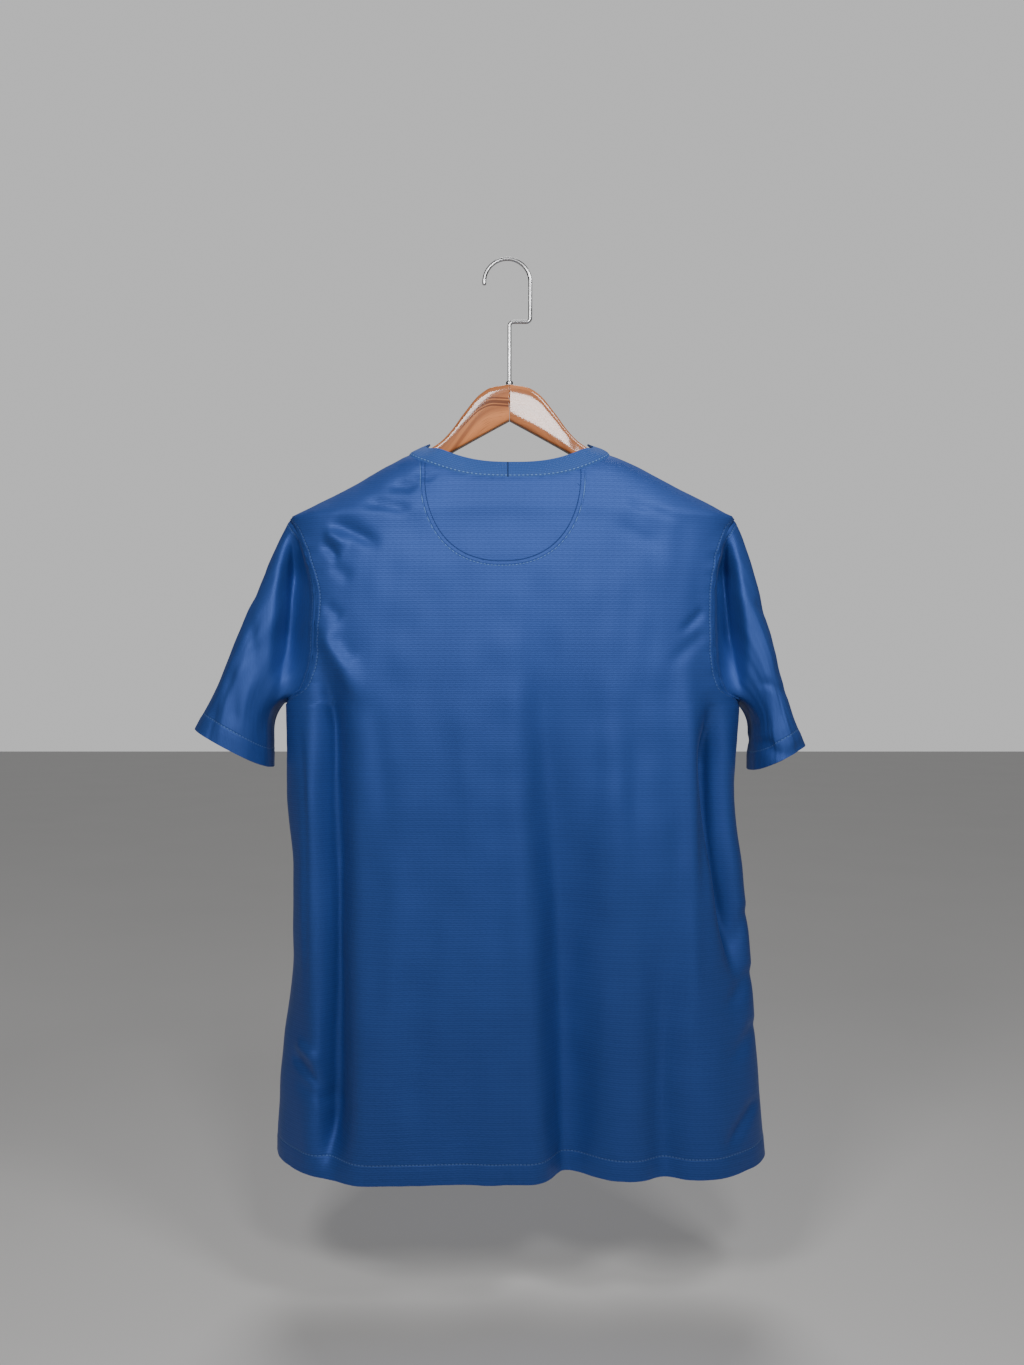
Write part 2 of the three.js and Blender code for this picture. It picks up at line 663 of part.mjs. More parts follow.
class HookPath extends THREE.CurvePath {
  constructor() {
    super();
    const crownZ = -Math.sqrt((CROWN.radius - WIRE / 2) ** 2 - CROWN.middle ** 2);
    const at = (x, z) => new THREE.Vector3(x, 0, z);
    const { aside, bend, corner } = SHANK;
    const stops = [at(0, ARM[0].top - SHANK.into), at(0, bend - corner)];
    this.add(new THREE.LineCurve3(stops[0], stops[1]));
    this.add(new THREE.QuadraticBezierCurve3(stops[1], at(0, bend), at(corner, bend)));
    this.add(new THREE.LineCurve3(at(corner, bend), at(aside - corner, bend)));
    const [turn, up] = [at(aside - corner, bend), at(aside, bend + corner)];
    this.add(new THREE.QuadraticBezierCurve3(turn, at(aside, bend), up));
    this.add(new THREE.LineCurve3(up, at(aside, crownZ)));
    const round = (angle) => at(
      CROWN.middle + CROWN.radius * Math.cos(angle),
      crownZ + CROWN.radius * Math.sin(angle),
    );
    const turns = Array.from({ length: 9 }, (_, i) => round((Math.PI * 1.03 * i) / 8));
    this.add(new THREE.CatmullRomCurve3(turns));
  }
}

const WIRE_SIDES = 8;
const WIRE_STEPS = 72;

function hookGeometry() {
  const turns = Array.from({ length: WIRE_SIDES }, (_, i) => (2 * Math.PI * i) / WIRE_SIDES);
  const round = new THREE.Shape(turns.map((turn) => new THREE.Vector2(
    (Math.cos(turn) * WIRE) / 2,
    (Math.sin(turn) * WIRE) / 2,
  )));
  const sweep = { extrudePath: new HookPath(), steps: WIRE_STEPS, bevelEnabled: false };
  return new THREE.ExtrudeGeometry(round, sweep);
}

// The shank's hole in the wood, open at the top
const HOLE = { radius: WIRE / 2 + SEAM, tall: 60, sides: 12 };
const hole = new THREE.CylinderGeometry(HOLE.radius, HOLE.radius, HOLE.tall, HOLE.sides);
hole.rotateX(Math.PI / 2);
hole.translate(0, 0, ARM[0].top - SHANK.into - SEAM + HOLE.tall / 2);
for (const hand of ['left', 'right']) {
  const arm = toManifold(armGeometry(hand)).subtract(toManifold(hole));
  addMesh(`hanger_arm_${hand}`, toGeometry(arm), WOOD);
}
addMesh('hanger_hook', hookGeometry(), STEEL);

// Ferrule: a ring round the wire, standing on the crest of the wood
const FERRULE = { inner: WIRE / 2 + SEAM, outer: 3.5, tall: 4.5 };
const ferrule = new THREE.LatheGeometry([
  new THREE.Vector2(FERRULE.inner, 0),
  new THREE.Vector2(FERRULE.outer, 0),
  new THREE.Vector2(FERRULE.outer, FERRULE.tall * 0.7),
  new THREE.Vector2(FERRULE.outer * 0.85, FERRULE.tall),
  new THREE.Vector2(FERRULE.inner, FERRULE.tall),
  new THREE.Vector2(FERRULE.inner, 0),
], 16);
ferrule.rotateX(Math.PI / 2);
ferrule.translate(0, 0, ARM[0].top + SEAM);
addMesh('hook_ferrule', ferrule, STEEL);

export default parts;
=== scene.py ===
"""A short-sleeved football jersey hanging on a wooden hanger."""

import bmesh
import bpy
import numpy as np
from bpy.props import FloatProperty, FloatVectorProperty, IntProperty, PointerProperty
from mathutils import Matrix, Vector


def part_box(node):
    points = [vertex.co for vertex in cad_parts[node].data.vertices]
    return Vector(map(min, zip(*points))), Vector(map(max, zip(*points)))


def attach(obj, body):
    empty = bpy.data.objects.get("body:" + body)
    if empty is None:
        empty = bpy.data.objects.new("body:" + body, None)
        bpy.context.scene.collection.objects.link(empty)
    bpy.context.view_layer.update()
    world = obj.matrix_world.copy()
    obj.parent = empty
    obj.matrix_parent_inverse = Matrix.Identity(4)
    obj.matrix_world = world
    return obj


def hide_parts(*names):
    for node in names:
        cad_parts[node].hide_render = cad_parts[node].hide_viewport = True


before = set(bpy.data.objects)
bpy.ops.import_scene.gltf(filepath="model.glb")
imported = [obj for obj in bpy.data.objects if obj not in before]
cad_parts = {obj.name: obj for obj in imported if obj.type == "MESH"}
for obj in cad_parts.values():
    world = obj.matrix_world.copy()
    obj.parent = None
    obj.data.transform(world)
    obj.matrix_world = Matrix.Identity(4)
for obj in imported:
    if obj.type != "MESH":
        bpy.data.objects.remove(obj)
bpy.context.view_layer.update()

bl_info = {
    "name": "Football jersey on a hanger",
    "version": (1, 0, 0),
    "blender": (4, 5, 0),
    "location": "3D View > Sidebar > Jersey",
    "description": "Builds a knitted jersey, its seams and its wooden hanger",
    "category": "Add Mesh",
}

MM = 0.001

# Levels of the body, in millimetres
TIP_LEVEL = -256.5
ARMPIT_LEVEL = -441.0
NECK_LEVEL = -191.5
HEM_LEVEL = -897.0
HEM_RISE = 9.0
# Drop, flatness, roundness at the neck and at the shoulder tips, and how far columns draw in
NECK_DIP = {"back": (31.0, 3.0, 0.62, 1.6, 1.6), "front": (94.0, 2.6, 0.75, 2.0, 1.0)}
NECK_FADE_LEVEL = -400.0
# Distance from the neckline for each millimetre of level, and the reach of the armholes' squeeze
NECK_SLOPE = 0.93
ARMHOLE_SQUEEZE = 0.85
# How far the collar's foot is tucked under the panels, and the sleeves stand off the armholes
SEAM_TUCK = 0.4
ROOT_STANDOFF = 0.45
# Depth and reach of the grooves along the seams
SIDE_GROOVE = (0.8, 2.2)
NECK_GROOVE = (0.9, 2.0)
ROOT_GROOVE = (0.9, 2.0)
MOON_GROOVE = (0.2, 3.0)
# Height of a turned-up layer, its start and softness, and the groove above it
LAYER_RISE, LAYER_START, LAYER_SOFT = 0.45, 0.8, 1.6
LAYER_GROOVE, LAYER_GROOVE_PLACE = (0.35, 1.5), 2
# Points inside the body and the neck, which the faces look away from
BODY_INSIDE = (0, 5, -500)
NECK_INSIDE = (0, 5, -215)
# Counts of the grids, and the width that a panel's columns are spread over
HALF_STEPS = 900
PANEL_WIDE = 540
SLEEVE_ROWS, SLEEVE_ROUND = 78, 176
COLLAR_ROWS, COLLAR_ROUND = 13, 150
ARM_ROWS, CROWN_STEPS, BEND_STEPS = 150, 72, 10
# Rounds of moving points onto the half-moon's outline, and the depth of rows that keep their level
SNAP_ROUNDS = 5
NECK_HELD = 12


def table(names, rows):
    """Columns of a table by name."""
    return {name: np.array([row[i] for row in rows], float) for i, name in enumerate(names.split())}


# Sides, seam depth, back and front of the body at each level, and how square it is there
LEVELS = table("z left right seam_left seam_right back front square_left square_right", [
    (-180, -76, 74, 1, 1, -28, 32, 2.2, 2.2),
    (-191.5, -97, 95.5, 2, 2, -33, 39, 2.3, 2.3),
    (-209, -128, 133, 5, 5, -37, 44, 2.4, 2.4),
    (-231.5, -170, 177.5, 10, 10, -41, 49, 2.4, 2.4),
    (-243, -194.5, 201.5, 13, 13, -43, 52, 2.4, 2.4),
    (-254, -217, 222.5, 15.5, 15.5, -44, 54, 2.5, 2.5),
    (-256.5, -222, 227.5, 16, 16, -44, 54, 2.5, 2.5),
    (-310, -223, 228.5, 14, 14, -49, 60, 2.6, 2.6),
    (-441, -223.5, 230, 12, 10, -57, 68, 2.8, 2.8),
    (-530, -223.5, 224.5, 12, 8, -59, 70, 2.8, 2.8),
    (-607, -216, 232, 14, 9, -60, 70, 2.8, 2.8),
    (-691, -218, 239.5, 20, 10, -61, 70, 2.8, 2.8),
    (-788, -230, 246.5, 30, 11, -61, 63, 2.9, 2.8),
    (-910, -237, 258, 38, 12, -63, 58, 3, 2.8),
])

# Armhole edges on the back and the front
ARMHOLES = table("z back_left back_right front_left front_right", [
    (-256.5, -222, 227.5, -222, 227.5),
    (-270, -212, 217, -210, 215),
    (-297, -200, 206.5, -195, 200),
    (-340, -189, 200, -182, 188),
    (-392, -191, 199.5, -183, 189),
    (-426, -201, 206.5, -198, 203),
    (-441, -223.5, 230, -223.5, 230),
])

# Main folds: a line from one point to another, its bow, depth, reach to either side of it
# and the share of its length over which each end fades. A ridge has a depth below zero.
FOLD_COLUMNS = "x1 z1 x2 z2 bow depth left right top low"
BACK_FOLDS = table(FOLD_COLUMNS, [
    (-181, -385, -174, -900, 3, 25, 8, 19, 0.16, 0.12),
    (-197, -430, -196, -780, 0, -4, 9, 9, 0.3, 0.3),
    (-140, -560, -142, -1000, 0, -9, 34, 50, 0.75, 0.1),
    (-190, -350, -138, -450, 0, -5, 9, 12, 0.35, 0.35),
    (20, -300, 52, -960, 13, 34, 19, 38, 0.75, 0.02),
    (140, -540, 154, -980, 0, 15, 18, 16, 0.7, 0.05),
    (172, -380, 174, -800, 2, -5, 12, 10, 0.25, 0.25),
    (196, -425, 231, -735, -8, 25, 9, 9, 0.25, 0.35),
    (200, -700, 196, -1000, 0, -6, 36, 26, 0.5, 0.1),
])
FRONT_FOLDS = table(FOLD_COLUMNS, [
    (-170, -370, -152, -860, -8, 18, 15, 12, 0.18, 0.18),
    (-70, -420, -86, -980, 10, 15, 38, 24, 0.6, 0.1),
    (40, -330, 72, -980, -9, 17, 24, 40, 0.6, 0.1),
    (176, -380, 168, -830, 9, 19, 12, 15, 0.18, 0.18),
])
# Small creases and drag lines, laid on the cloth after the main folds
BACK_CREASES = table(FOLD_COLUMNS, [
    (-118, -229, -88, -233, 0, 2.7, 4.5, 5.5, 0.3, 0.3),
    (-146, -246, -92, -256, 1, 3.4, 5.5, 6.5, 0.3, 0.3),
    (-178, -264, -122, -292, 2, 4.4, 6.5, 7.5, 0.25, 0.4),
    (-182, -274, -156, -290, 1, -3.1, 5.5, 5.5, 0.3, 0.3),
    (-184, -284, -166, -304, 2, 3.1, 5.5, 4.5, 0.3, 0.3),
    (-176, -305, -150, -325, 0, 1.7, 6.5, 7.5, 0.3, 0.4),
    (-180, -344, -162, -362, 0, 1.7, 5.5, 6.5, 0.3, 0.3),
    (-172, -372, -150, -404, 0, 2.4, 6.5, 8.5, 0.3, 0.3),
    (-94, -214, -70, -224, 0, 2.2, 4.5, 4.5, 0.3, 0.3),
    (-206, -440, -200, -760, 4, 2.7, 4, 4, 0.3, 0.3),
    (190, -349, 160, -377, 1, 2.2, 4, 5, 0.2, 0.5),
    (192, -372, 150, -410, -2, 1.6, 6, 7, 0.2, 0.5),
    (182, -440, 188, -640, 2, 3.0, 5, 6, 0.3, 0.3),
    (112, -246, 165, -262, 0, 1.8, 5, 5, 0.3, 0.3),
    (96, -262, 150, -292, -2, 1.5, 8, 8, 0.4, 0.4),
    (-216, -788, -176, -818, 1, 4.1, 3, 8, 0.2, 0.4),
    (-214, -772, -180, -790, 0, -3.2, 6, 5, 0.3, 0.4),
    (-214, -806, -150, -836, 0, 2.4, 8, 9, 0.3, 0.5),
    (244, -826, 206, -874, 0, 4.1, 6, 5, 0.2, 0.4),
    (240, -700, 206, -742, 2, 3.2, 7, 9, 0.2, 0.5),
    (242, -752, 212, -790, 2, 3.0, 7, 8, 0.2, 0.5),
    (236, -640, 214, -690, 0, 2.4, 6, 8, 0.2, 0.5),
    (96, -610, 108, -860, 4, 2.7, 14, 16, 0.4, 0.4),
    (-96, -640, -84, -880, -4, 3.0, 16, 14, 0.4, 0.3),
    (-52, -430, -44, -640, -3, 1.9, 14, 12, 0.4, 0.4),
    (72, -400, 84, -560, 3, 1.9, 13, 12, 0.4, 0.4),
    (-132, -420, -120, -600, 3, 2.2, 9, 12, 0.4, 0.4),
    (118, -430, 126, -600, -3, 2.0, 12, 10, 0.4, 0.4),
])
FRONT_CREASES = table(FOLD_COLUMNS, [
    (-176, -268, -124, -290, 2, 2.2, 5, 6, 0.3, 0.4),
    (-184, -330, -150, -366, 1, 1.8, 5, 7, 0.3, 0.4),
    (182, -268, 128, -292, -2, 2.2, 6, 5, 0.3, 0.4),
    (188, -330, 152, -368, -1, 1.8, 7, 5, 0.3, 0.4),
    (-196, -450, -188, -700, 4, 2.2, 6, 6, 0.3, 0.3),
    (198, -450, 196, -700, -4, 2.2, 6, 6, 0.3, 0.3),
    (-118, -560, -124, -860, 4, 2.6, 14, 14, 0.4, 0.3),
    (-20, -520, -8, -860, 4, 2.4, 15, 15, 0.4, 0.3),
    (120, -560, 128, -860, -4, 2.6, 14, 14, 0.4, 0.3),
    (-212, -790, -170, -826, 0, 2.6, 6, 8, 0.3, 0.4),
    (232, -800, 196, -850, 0, 2.6, 7, 6, 0.3, 0.4),
])

SLEEVE_COLUMNS = "s top_x top_z low_x low_z middle back front"
SLEEVES = {
    "left": table(SLEEVE_COLUMNS, [
        (0, -222, -256.5, -223.5, -441, 15, 30, 36),
        (0.3, -247, -312, -236, -447, 11, 38, 44),
        (0.6, -273, -380, -240, -462, 8, 45, 50),
        (0.85, -295, -435, -239, -485, 5, 49, 55),
        (1, -312, -467, -239, -506, 3, 50, 58),
    ]),
    "right": table(SLEEVE_COLUMNS, [
        (0, 227.5, -256.5, 230, -441, 14, 30, 36),
        (0.3, 253, -330, 241, -449, 11, 38, 44),
        (0.6, 265, -395, 245, -464, 8, 46, 52),
        (0.85, 280, -452, 243, -486, 5, 51, 57),
        (1, 292, -483, 242, -509, 3, 53, 59),
    ]),
}
SLEEVE_FOLDS = {
    "left": table(FOLD_COLUMNS, [(-214, -264, -226, -442, 0, 32, 6, 20, 0.3, 0.4)]),
    "right": table(FOLD_COLUMNS, [(212, -264, 227, -442, 0, 34, 22, 6, 0.3, 0.4)]),
}
SLEEVE_CREASES = {
    "left": table(FOLD_COLUMNS, [
        (-246, -300, -262, -350, 2, 1.6, 5, 6, 0.3, 0.4),
        (-256, -350, -248, -430, 3, 1.4, 6, 6, 0.3, 0.4),
        (-270, -400, -262, -470, -2, 1.8, 7, 7, 0.3, 0.3),
        (-284, -440, -290, -490, 0, 1.5, 7, 7, 0.3, 0.2),
        (-240, -380, -268, -410, 0, 1.0, 5, 6, 0.3, 0.4),
    ]),
    "right": table(FOLD_COLUMNS, [
        (240, -420, 276, -436, 2, 1.8, 4, 5, 0.3, 0.4),
        (252, -300, 256, -380, 2, 1.4, 6, 6, 0.3, 0.4),
        (262, -390, 266, -470, -2, 1.6, 7, 7, 0.3, 0.3),
        (244, -474, 262, -496, 0, 3.0, 6, 5, 0.3, 0.4),
        (262, -496, 290, -478, 0, 2.4, 5, 6, 0.3, 0.4),
        (240, -340, 262, -356, 0, 1.2, 5, 6, 0.3, 0.4),
    ]),
}
# Tilt of the cuffs, squareness of the tubes, and the share over which they leave the armhole's shape
CUFF_TILT = 0.06
SLEEVE_SQUARE = 2.3
ROOT_REACH = 0.75
# Share of a sleeve's main fold that its back and its front take
FOLD_SHARE = (1.0, -0.25)
# The half-moon: a superellipse below a level top
HALF_MOON = {"middle": -6.6, "half": 76.0, "top": -214.0, "tall": 91.0, "power": 2.3}
# Width of the collar, and of the layers turned up at the hem and the cuffs
COLLAR_WIDE = 20.0
HEM_TURN = 19.0
CUFF_TURN = 18.0

# Upper and lower edges, forward place and thickness of the wood at distances from its middle
ARM = table("out top low forward thick", [
    (0, -125.5, -161.5, -6.2, 13),
    (17, -128, -170.5, -4.9, 13),
    (28.5, -134.3, -176.6, -4, 13),
    (46, -154.5, -186, -2.6, 13),
    (57, -169.5, -192, -1.7, 13),
    (68, -181, -198.5, -0.8, 12.5),
    (80, -188.8, -205.5, 0.4, 12.5),
    (98, -197.5, -215.5, 2, 12),
    (130, -214, -233, 5, 12),
    (174, -237, -255, 10, 11.5),
    (208, -253, -269, 14.5, 11),
    (216, -258, -270, 15.5, 8),
])
ARM_SQUARE = 0.42
ARM_END = 216
# The hook: the middle, radius and turn of its crown, the levels of its shank, and its offset bend
CROWN_MIDDLE, CROWN_RADIUS, CROWN_TURN = -2.25, 23.0, np.pi * 1.03
SHANK_FOOT, SHANK_MIDDLE, SHANK_TOP = -143.5, -125, -95
OFFSET_BEND, OFFSET_ASIDE, BEND_RADIUS = -61.0, 20.75, 4.0

# Walls, the soft edge of the painted shade along seam lines, and stitches, in metres
COLLAR_WALL = 0.0018
SEAM_SHADE_SOFT = 0.0007
STITCH_HALF, STITCH_SOFT, STITCH_PITCH = 0.00035, 0.0003, 0.0034
COLLAR_STITCH_PITCH = 0.0042
BRICK_LONG = 0.0062
COLLAR_ROW, COLLAR_LOOP = 0.0021, 0.0016
# Middle and half width of each dark mark on the left arm
WOOD_MARKS = ((-0.0185, 0.0013), (-0.0222, 0.0005), (-0.0145, 0.0003))
ARM_APART = 500.0
SHEEN_TINT = (0.5, 0.68, 1.0, 1.0)
STEEL_BRIGHT, STEEL_DULL = (0.62, 0.62, 0.63, 1), (0.36, 0.34, 0.32, 1)

# Name, place, goal, size, setting and colour of each soft light
SOFT_LIGHTS = (
    ("key_light", (-0.38, -0.94, 0.25), (0.0, 0.0, -0.4), (0.3, 0.3), "key", (1.0, 0.99, 0.98)),
    ("right_light", (0.5, -0.62, 0.38), (0.12, 0.0, -0.25), (0.25, 0.25), "fill", (1.0, 1.0, 1.0)),
    ("glare_light", (0.235, -1.1, 0.11), (0.02, 0.0, -0.16), (0.2, 0.24), "glare", (1.0, 1.0, 1.0)),
)
SUN_ANGLE, SUN_TURN = 0.5, (-0.55, 0.0, 0.0)
WORLD_COLOUR, WORLD_STRENGTH = (0.8, 0.84, 0.9, 1.0), 0.03
BACKGROUND_GREY = (0.62, 0.62, 0.62, 1.0)
FLOOR_HALF, FLOOR_POINTS = 9000.0, 9
# The viewpoint: place in metres, and the focal length in pixels of a picture this high
CAMERA_PLACE = (0.0025, -1.15, -0.4215)
SENSOR_WIDE, FOCAL_PIXELS, PICTURE_PIXELS = 36.0, 1150, 1365


class JerseyCloth(bpy.types.PropertyGroup):
    """The knit, its thickness and its colours."""
    thickness: FloatProperty(
        name="Cloth thickness", description="Thickness of the knit wall",
        default=0.0015, min=0.001, max=0.003, unit="LENGTH")
    spacing: FloatProperty(
        name="Grid spacing", description="Distance between the points of the cloth's grids",
        default=0.0033, min=0.002, max=0.01, unit="LENGTH")
    unevenness: FloatProperty(
        name="Unevenness", description="Height of the soft swells between the folds",
        default=0.0013, min=0.0, max=0.004, unit="LENGTH")
    colour: FloatVectorProperty(
        name="Knit colour", description="Colour of the jersey's knit",
        subtype="COLOR", size=3, default=(0.032, 0.08, 0.31), min=0.0, max=1.0)
    rib_colour: FloatVectorProperty(
        name="Collar colour", description="Colour of the collar's rib",
        subtype="COLOR", size=3, default=(0.03, 0.088, 0.32), min=0.0, max=1.0)
    thread_colour: FloatVectorProperty(
        name="Thread colour", description="Colour of the sewing thread",
        subtype="COLOR", size=3, default=(0.16, 0.32, 0.62), min=0.0, max=1.0)
    rib_pitch: FloatProperty(
        name="Rib pitch", description="Height of one row of the knit",
        default=0.00215, min=0.001, max=0.01, unit="LENGTH")


class JerseyHanger(bpy.types.PropertyGroup):
    """The wooden hanger and its wire hook."""
    wood_light: FloatVectorProperty(
        name="Light wood", description="Colour of the wood between its grain lines",
        subtype="COLOR", size=3, default=(0.62, 0.22, 0.075), min=0.0, max=1.0)
    wood_dark: FloatVectorProperty(
        name="Dark wood", description="Colour of the wood's grain lines",
        subtype="COLOR", size=3, default=(0.16, 0.04, 0.015), min=0.0, max=1.0)
    wire: FloatProperty(
        name="Wire", description="Diameter of the hook's wire",
        default=0.0038, min=0.002, max=0.006, unit="LENGTH")
    sides: IntProperty(
        name="Sides", description="Points round the wood and the wire",
        default=96, min=12, max=128)


class JerseyStage(bpy.types.PropertyGroup):
    """Floor and light."""
    floor_drop: FloatProperty(
        name="Floor drop", description="Distance from the hook's crown down to the floor",
        default=1.03, min=0.95, max=2.0, unit="LENGTH")
    floor_colour: FloatVectorProperty(
        name="Floor colour", description="Colour of the floor",
        subtype="COLOR", size=3, default=(0.62, 0.61, 0.6), min=0.0, max=1.0)
    key: FloatProperty(
        name="Key light", description="Power of the light above the back",
        default=6.6, min=0.0, max=500.0, unit="POWER")
    fill: FloatProperty(
        name="Fill light", description="Power of the light on the right",
        default=4.4, min=0.0, max=500.0, unit="POWER")
    glare: FloatProperty(
        name="Glare light", description="Power of the small light mirrored in the wood",
        default=4.6, min=0.0, max=500.0, unit="POWER")
    sun: FloatProperty(
        name="Sun", description="Strength of the light from behind and above",
        default=1.1, min=0.0, max=20.0)


# Shape functions, all in millimetres

def track(rows, column, at, axis="z"):
    """Cubic through a column's values whose slopes are harmonic means of the steps beside them."""
    x, y = rows[axis], rows[column]
    if x[0] > x[-1]:
        x, y = x[::-1], y[::-1]
    width = np.diff(x)
    rise = np.diff(y) / width
    same = rise[:-1] * rise[1:] > 0
    total = np.where(same, rise[:-1] + rise[1:], 1.0)
    slope = np.concatenate([rise[:1], np.where(same, 2 * rise[:-1] * rise[1:] / total, 0), rise[-1:]])
    at = np.clip(at, x[0], x[-1])
    i = np.clip(np.searchsorted(x, at, side="right") - 1, 0, len(width) - 1)
    t = (at - x[i]) / width[i]
    return (y[i] * (1 + 2 * t) * (1 - t) ** 2 + y[i + 1] * t * t * (3 - 2 * t)
            + slope[i] * width[i] * t * (1 - t) ** 2 - slope[i + 1] * width[i] * t * t * (1 - t))


def smooth(t):
    """Three t squared minus two t cubed, held between 0 and 1."""
    t = np.clip(t, 0, 1)
    return t * t * (3 - 2 * t)


def fold_depth(folds, x, z):
    """Sum of the folds' depths: a bell across each line, faded towards its two ends."""
    total = np.zeros(np.broadcast(x, z).shape)
    for x1, z1, x2, z2, bow, depth, left, right, top, low in zip(*(folds[c] for c in FOLD_COLUMNS.split())):
        long = np.hypot(x2 - x1, z2 - z1)
        t = ((x - x1) * (x2 - x1) + (z - z1) * (z2 - z1)) / long ** 2
        aside = ((z - z1) * (x2 - x1) - (x - x1) * (z2 - z1)) / long - bow * 4 * t * (1 - t)
        reach = np.where(aside < 0, left, right)
        total += depth * smooth(t / top) * smooth((1 - t) / low) * np.exp(-(aside / reach) ** 2)
    return total


def swell(a, b, seed, across, along):
    """Sine waves of seeded directions, added up; across and along are their lengths."""
    waves = 12
    rng = np.random.default_rng(seed)
    total = np.zeros(np.broadcast(a, b).shape)
    for _ in range(waves):
        turn, phase, size = rng.uniform(0, np.pi), rng.uniform(0, 2 * np.pi), rng.uniform(0.6, 1.7)
        total += np.sin(2 * np.pi * size * (a * np.cos(turn) / across + b * np.sin(turn) / along) + phase)
    return total / waves ** 0.5


def groove(gap, depth, reach):
    """A depth times a bell of the gap over its reach."""
    return depth * np.exp(-(gap / reach) ** 2)


def turned_up(push, gap, turn):
    """The push less a layer's rise below its turn, plus the groove beside its stitches."""
    push = push - LAYER_RISE * smooth((turn + LAYER_START - gap) / LAYER_SOFT)
    return push + groove(gap - turn + LAYER_GROOVE_PLACE, *LAYER_GROOVE)


def unit(v):
    """Vectors made one unit long."""
    return v / np.maximum(np.linalg.norm(v, axis=-1, keepdims=True), 1e-9)


def grid_normals(points, closed=False):
    """Cross product of a grid's steps along its columns and down its rows."""
    if closed:
        across = np.roll(points, -1, axis=1) - np.roll(points, 1, axis=1)
    else:
        across = np.gradient(points, axis=1)
    return unit(np.cross(across, np.gradient(points, axis=0)))


class Body:
    """Half sections of the body at even levels, resampled by length along the cloth."""
    FIRST, LAST, STEP = -176.0, -912.0, 2.0
    COLUMNS = HALF_STEPS + 1
    SIDE_FADE = 0.03
    SMALL_ACROSS, SMALL_UP = 0.006, 1.0

    def __init__(self):
        """Width times a sine across, seam depth plus a rounded square, pushed in by the folds."""
        self.z = np.arange(self.FIRST, self.LAST, -self.STEP)
        z = self.z[:, None]
        p = np.linspace(-1, 3, 2 * HALF_STEPS, endpoint=False)[None, :]
        size = {c: track(LEVELS, c, z) for c in LEVELS if c != "z"}
        sine, cosine = np.sin(p * np.pi / 2), np.cos(p * np.pi / 2)
        x = (size["left"] + size["right"]) / 2 + sine * (size["right"] - size["left"]) / 2
        seam = size["seam_left"] + (size["seam_right"] - size["seam_left"]) * (sine + 1) / 2
        face = np.where(cosine >= 0, size["back"], size["front"])
        square = np.where(sine < 0, size["square_left"], size["square_right"])
        y = seam + (face - seam) * np.maximum(1 - np.abs(sine) ** square, 0) ** (1 / square)
        tx = np.roll(x, -1, 1) - np.roll(x, 1, 1)
        ty = np.roll(y, -1, 1) - np.roll(y, 1, 1)
        long = np.hypot(tx, ty)
        push = np.where(p < 1, fold_depth(BACK_FOLDS, x, z), fold_depth(FRONT_FOLDS, x, z))
        push = push * smooth((1 - np.abs(sine)) / self.SIDE_FADE)
        x, y = x - ty / long * push, y + tx / long * push
        edges = {c: track(ARMHOLES, c, self.z) for c in ARMHOLES if c != "z"}
        middle = (size["left"] + size["right"])[:, 0] / 2
        half = (size["right"] - size["left"])[:, 0] / 2
        armed = (self.z < TIP_LEVEL) & (self.z > ARMPIT_LEVEL)
        self.halves, self.length, self.edge = {}, {}, {}
        for side, first in (("back", 0), ("front", HALF_STEPS)):
            index = (first + np.arange(self.COLUMNS)) % (2 * HALF_STEPS)
            hx, hy = x[:, index], y[:, index]
            steps = np.cumsum(np.hypot(np.diff(hx), np.diff(hy)), 1)
            run = np.concatenate([np.zeros((len(z), 1)), steps], 1)
            self.length[side] = run[:, -1]
            even = np.linspace(0, 1, self.COLUMNS)
            rows = [np.stack([np.interp(even * r[-1], r, a), np.interp(even * r[-1], r, b)], 1)
                    for r, a, b in zip(run, hx, hy)]
            self.halves[side] = np.stack(rows)
            pair = []
            for hand, column in ((-1, "_left"), (1, "_right")):
                turn = np.arcsin(np.clip((edges[side + column] - middle) / half, -1, 1)) * 2 / np.pi
                place = ((turn + 1) if side == "back" else (1 - turn)) * HALF_STEPS / 2
                spots = np.arange(self.COLUMNS)
                at = np.array([np.interp(q, spots, r) / r[-1] for q, r in zip(place, run)])
                pair.append(np.where(armed, 2 * at - 1, hand if side == "back" else -hand))
            self.edge[side] = pair if side == "back" else pair[::-1]

    def line(self, values, z):
        """Values of the levels blended to the heights z."""
        return np.interp(-z, -self.z, values)

    def place(self, side, v, z):
        """Point of a half at v from -1 to 1 along the cloth, blended between levels and columns."""
        row = np.clip((self.z[0] - z) / self.STEP, 0, len(self.z) - 1.001)
        column = np.clip((v + 1) / 2, 0, 1) * (self.COLUMNS - 1.001)
        i, j = row.astype(int), column.astype(int)
        t, u = (row - i)[..., None], (column - j)[..., None]
        half = self.halves[side]
        upper = half[i, j] * (1 - u) + half[i, j + 1] * u
        lower = half[i + 1, j] * (1 - u) + half[i + 1, j + 1] * u
        xy = upper * (1 - t) + lower * t
        return np.concatenate([xy, z[..., None]], -1)

    def neck_dip(self, side, u, edge):
        """Drop of a row towards the neckline: flat in the middle and fading down the body."""
        drop, flat, power, low_power = NECK_DIP[side][:4]
        near = smooth((edge - NECK_FADE_LEVEL) / (NECK_LEVEL - NECK_FADE_LEVEL))
        below = smooth((NECK_LEVEL - edge) / (NECK_LEVEL - TIP_LEVEL))
        bend = power + (low_power - power) * below
        return drop * np.maximum(1 - np.abs(u) ** flat, 0) ** bend * near

    def row_level(self, side, u, edge):
        """Edge level, less the neckline's dip, plus the hem's rise at the sides."""
        low = smooth((ARMPIT_LEVEL - edge) / (ARMPIT_LEVEL - HEM_LEVEL))
        return edge - self.neck_dip(side, u, edge) + HEM_RISE * low * np.abs(u) ** 5

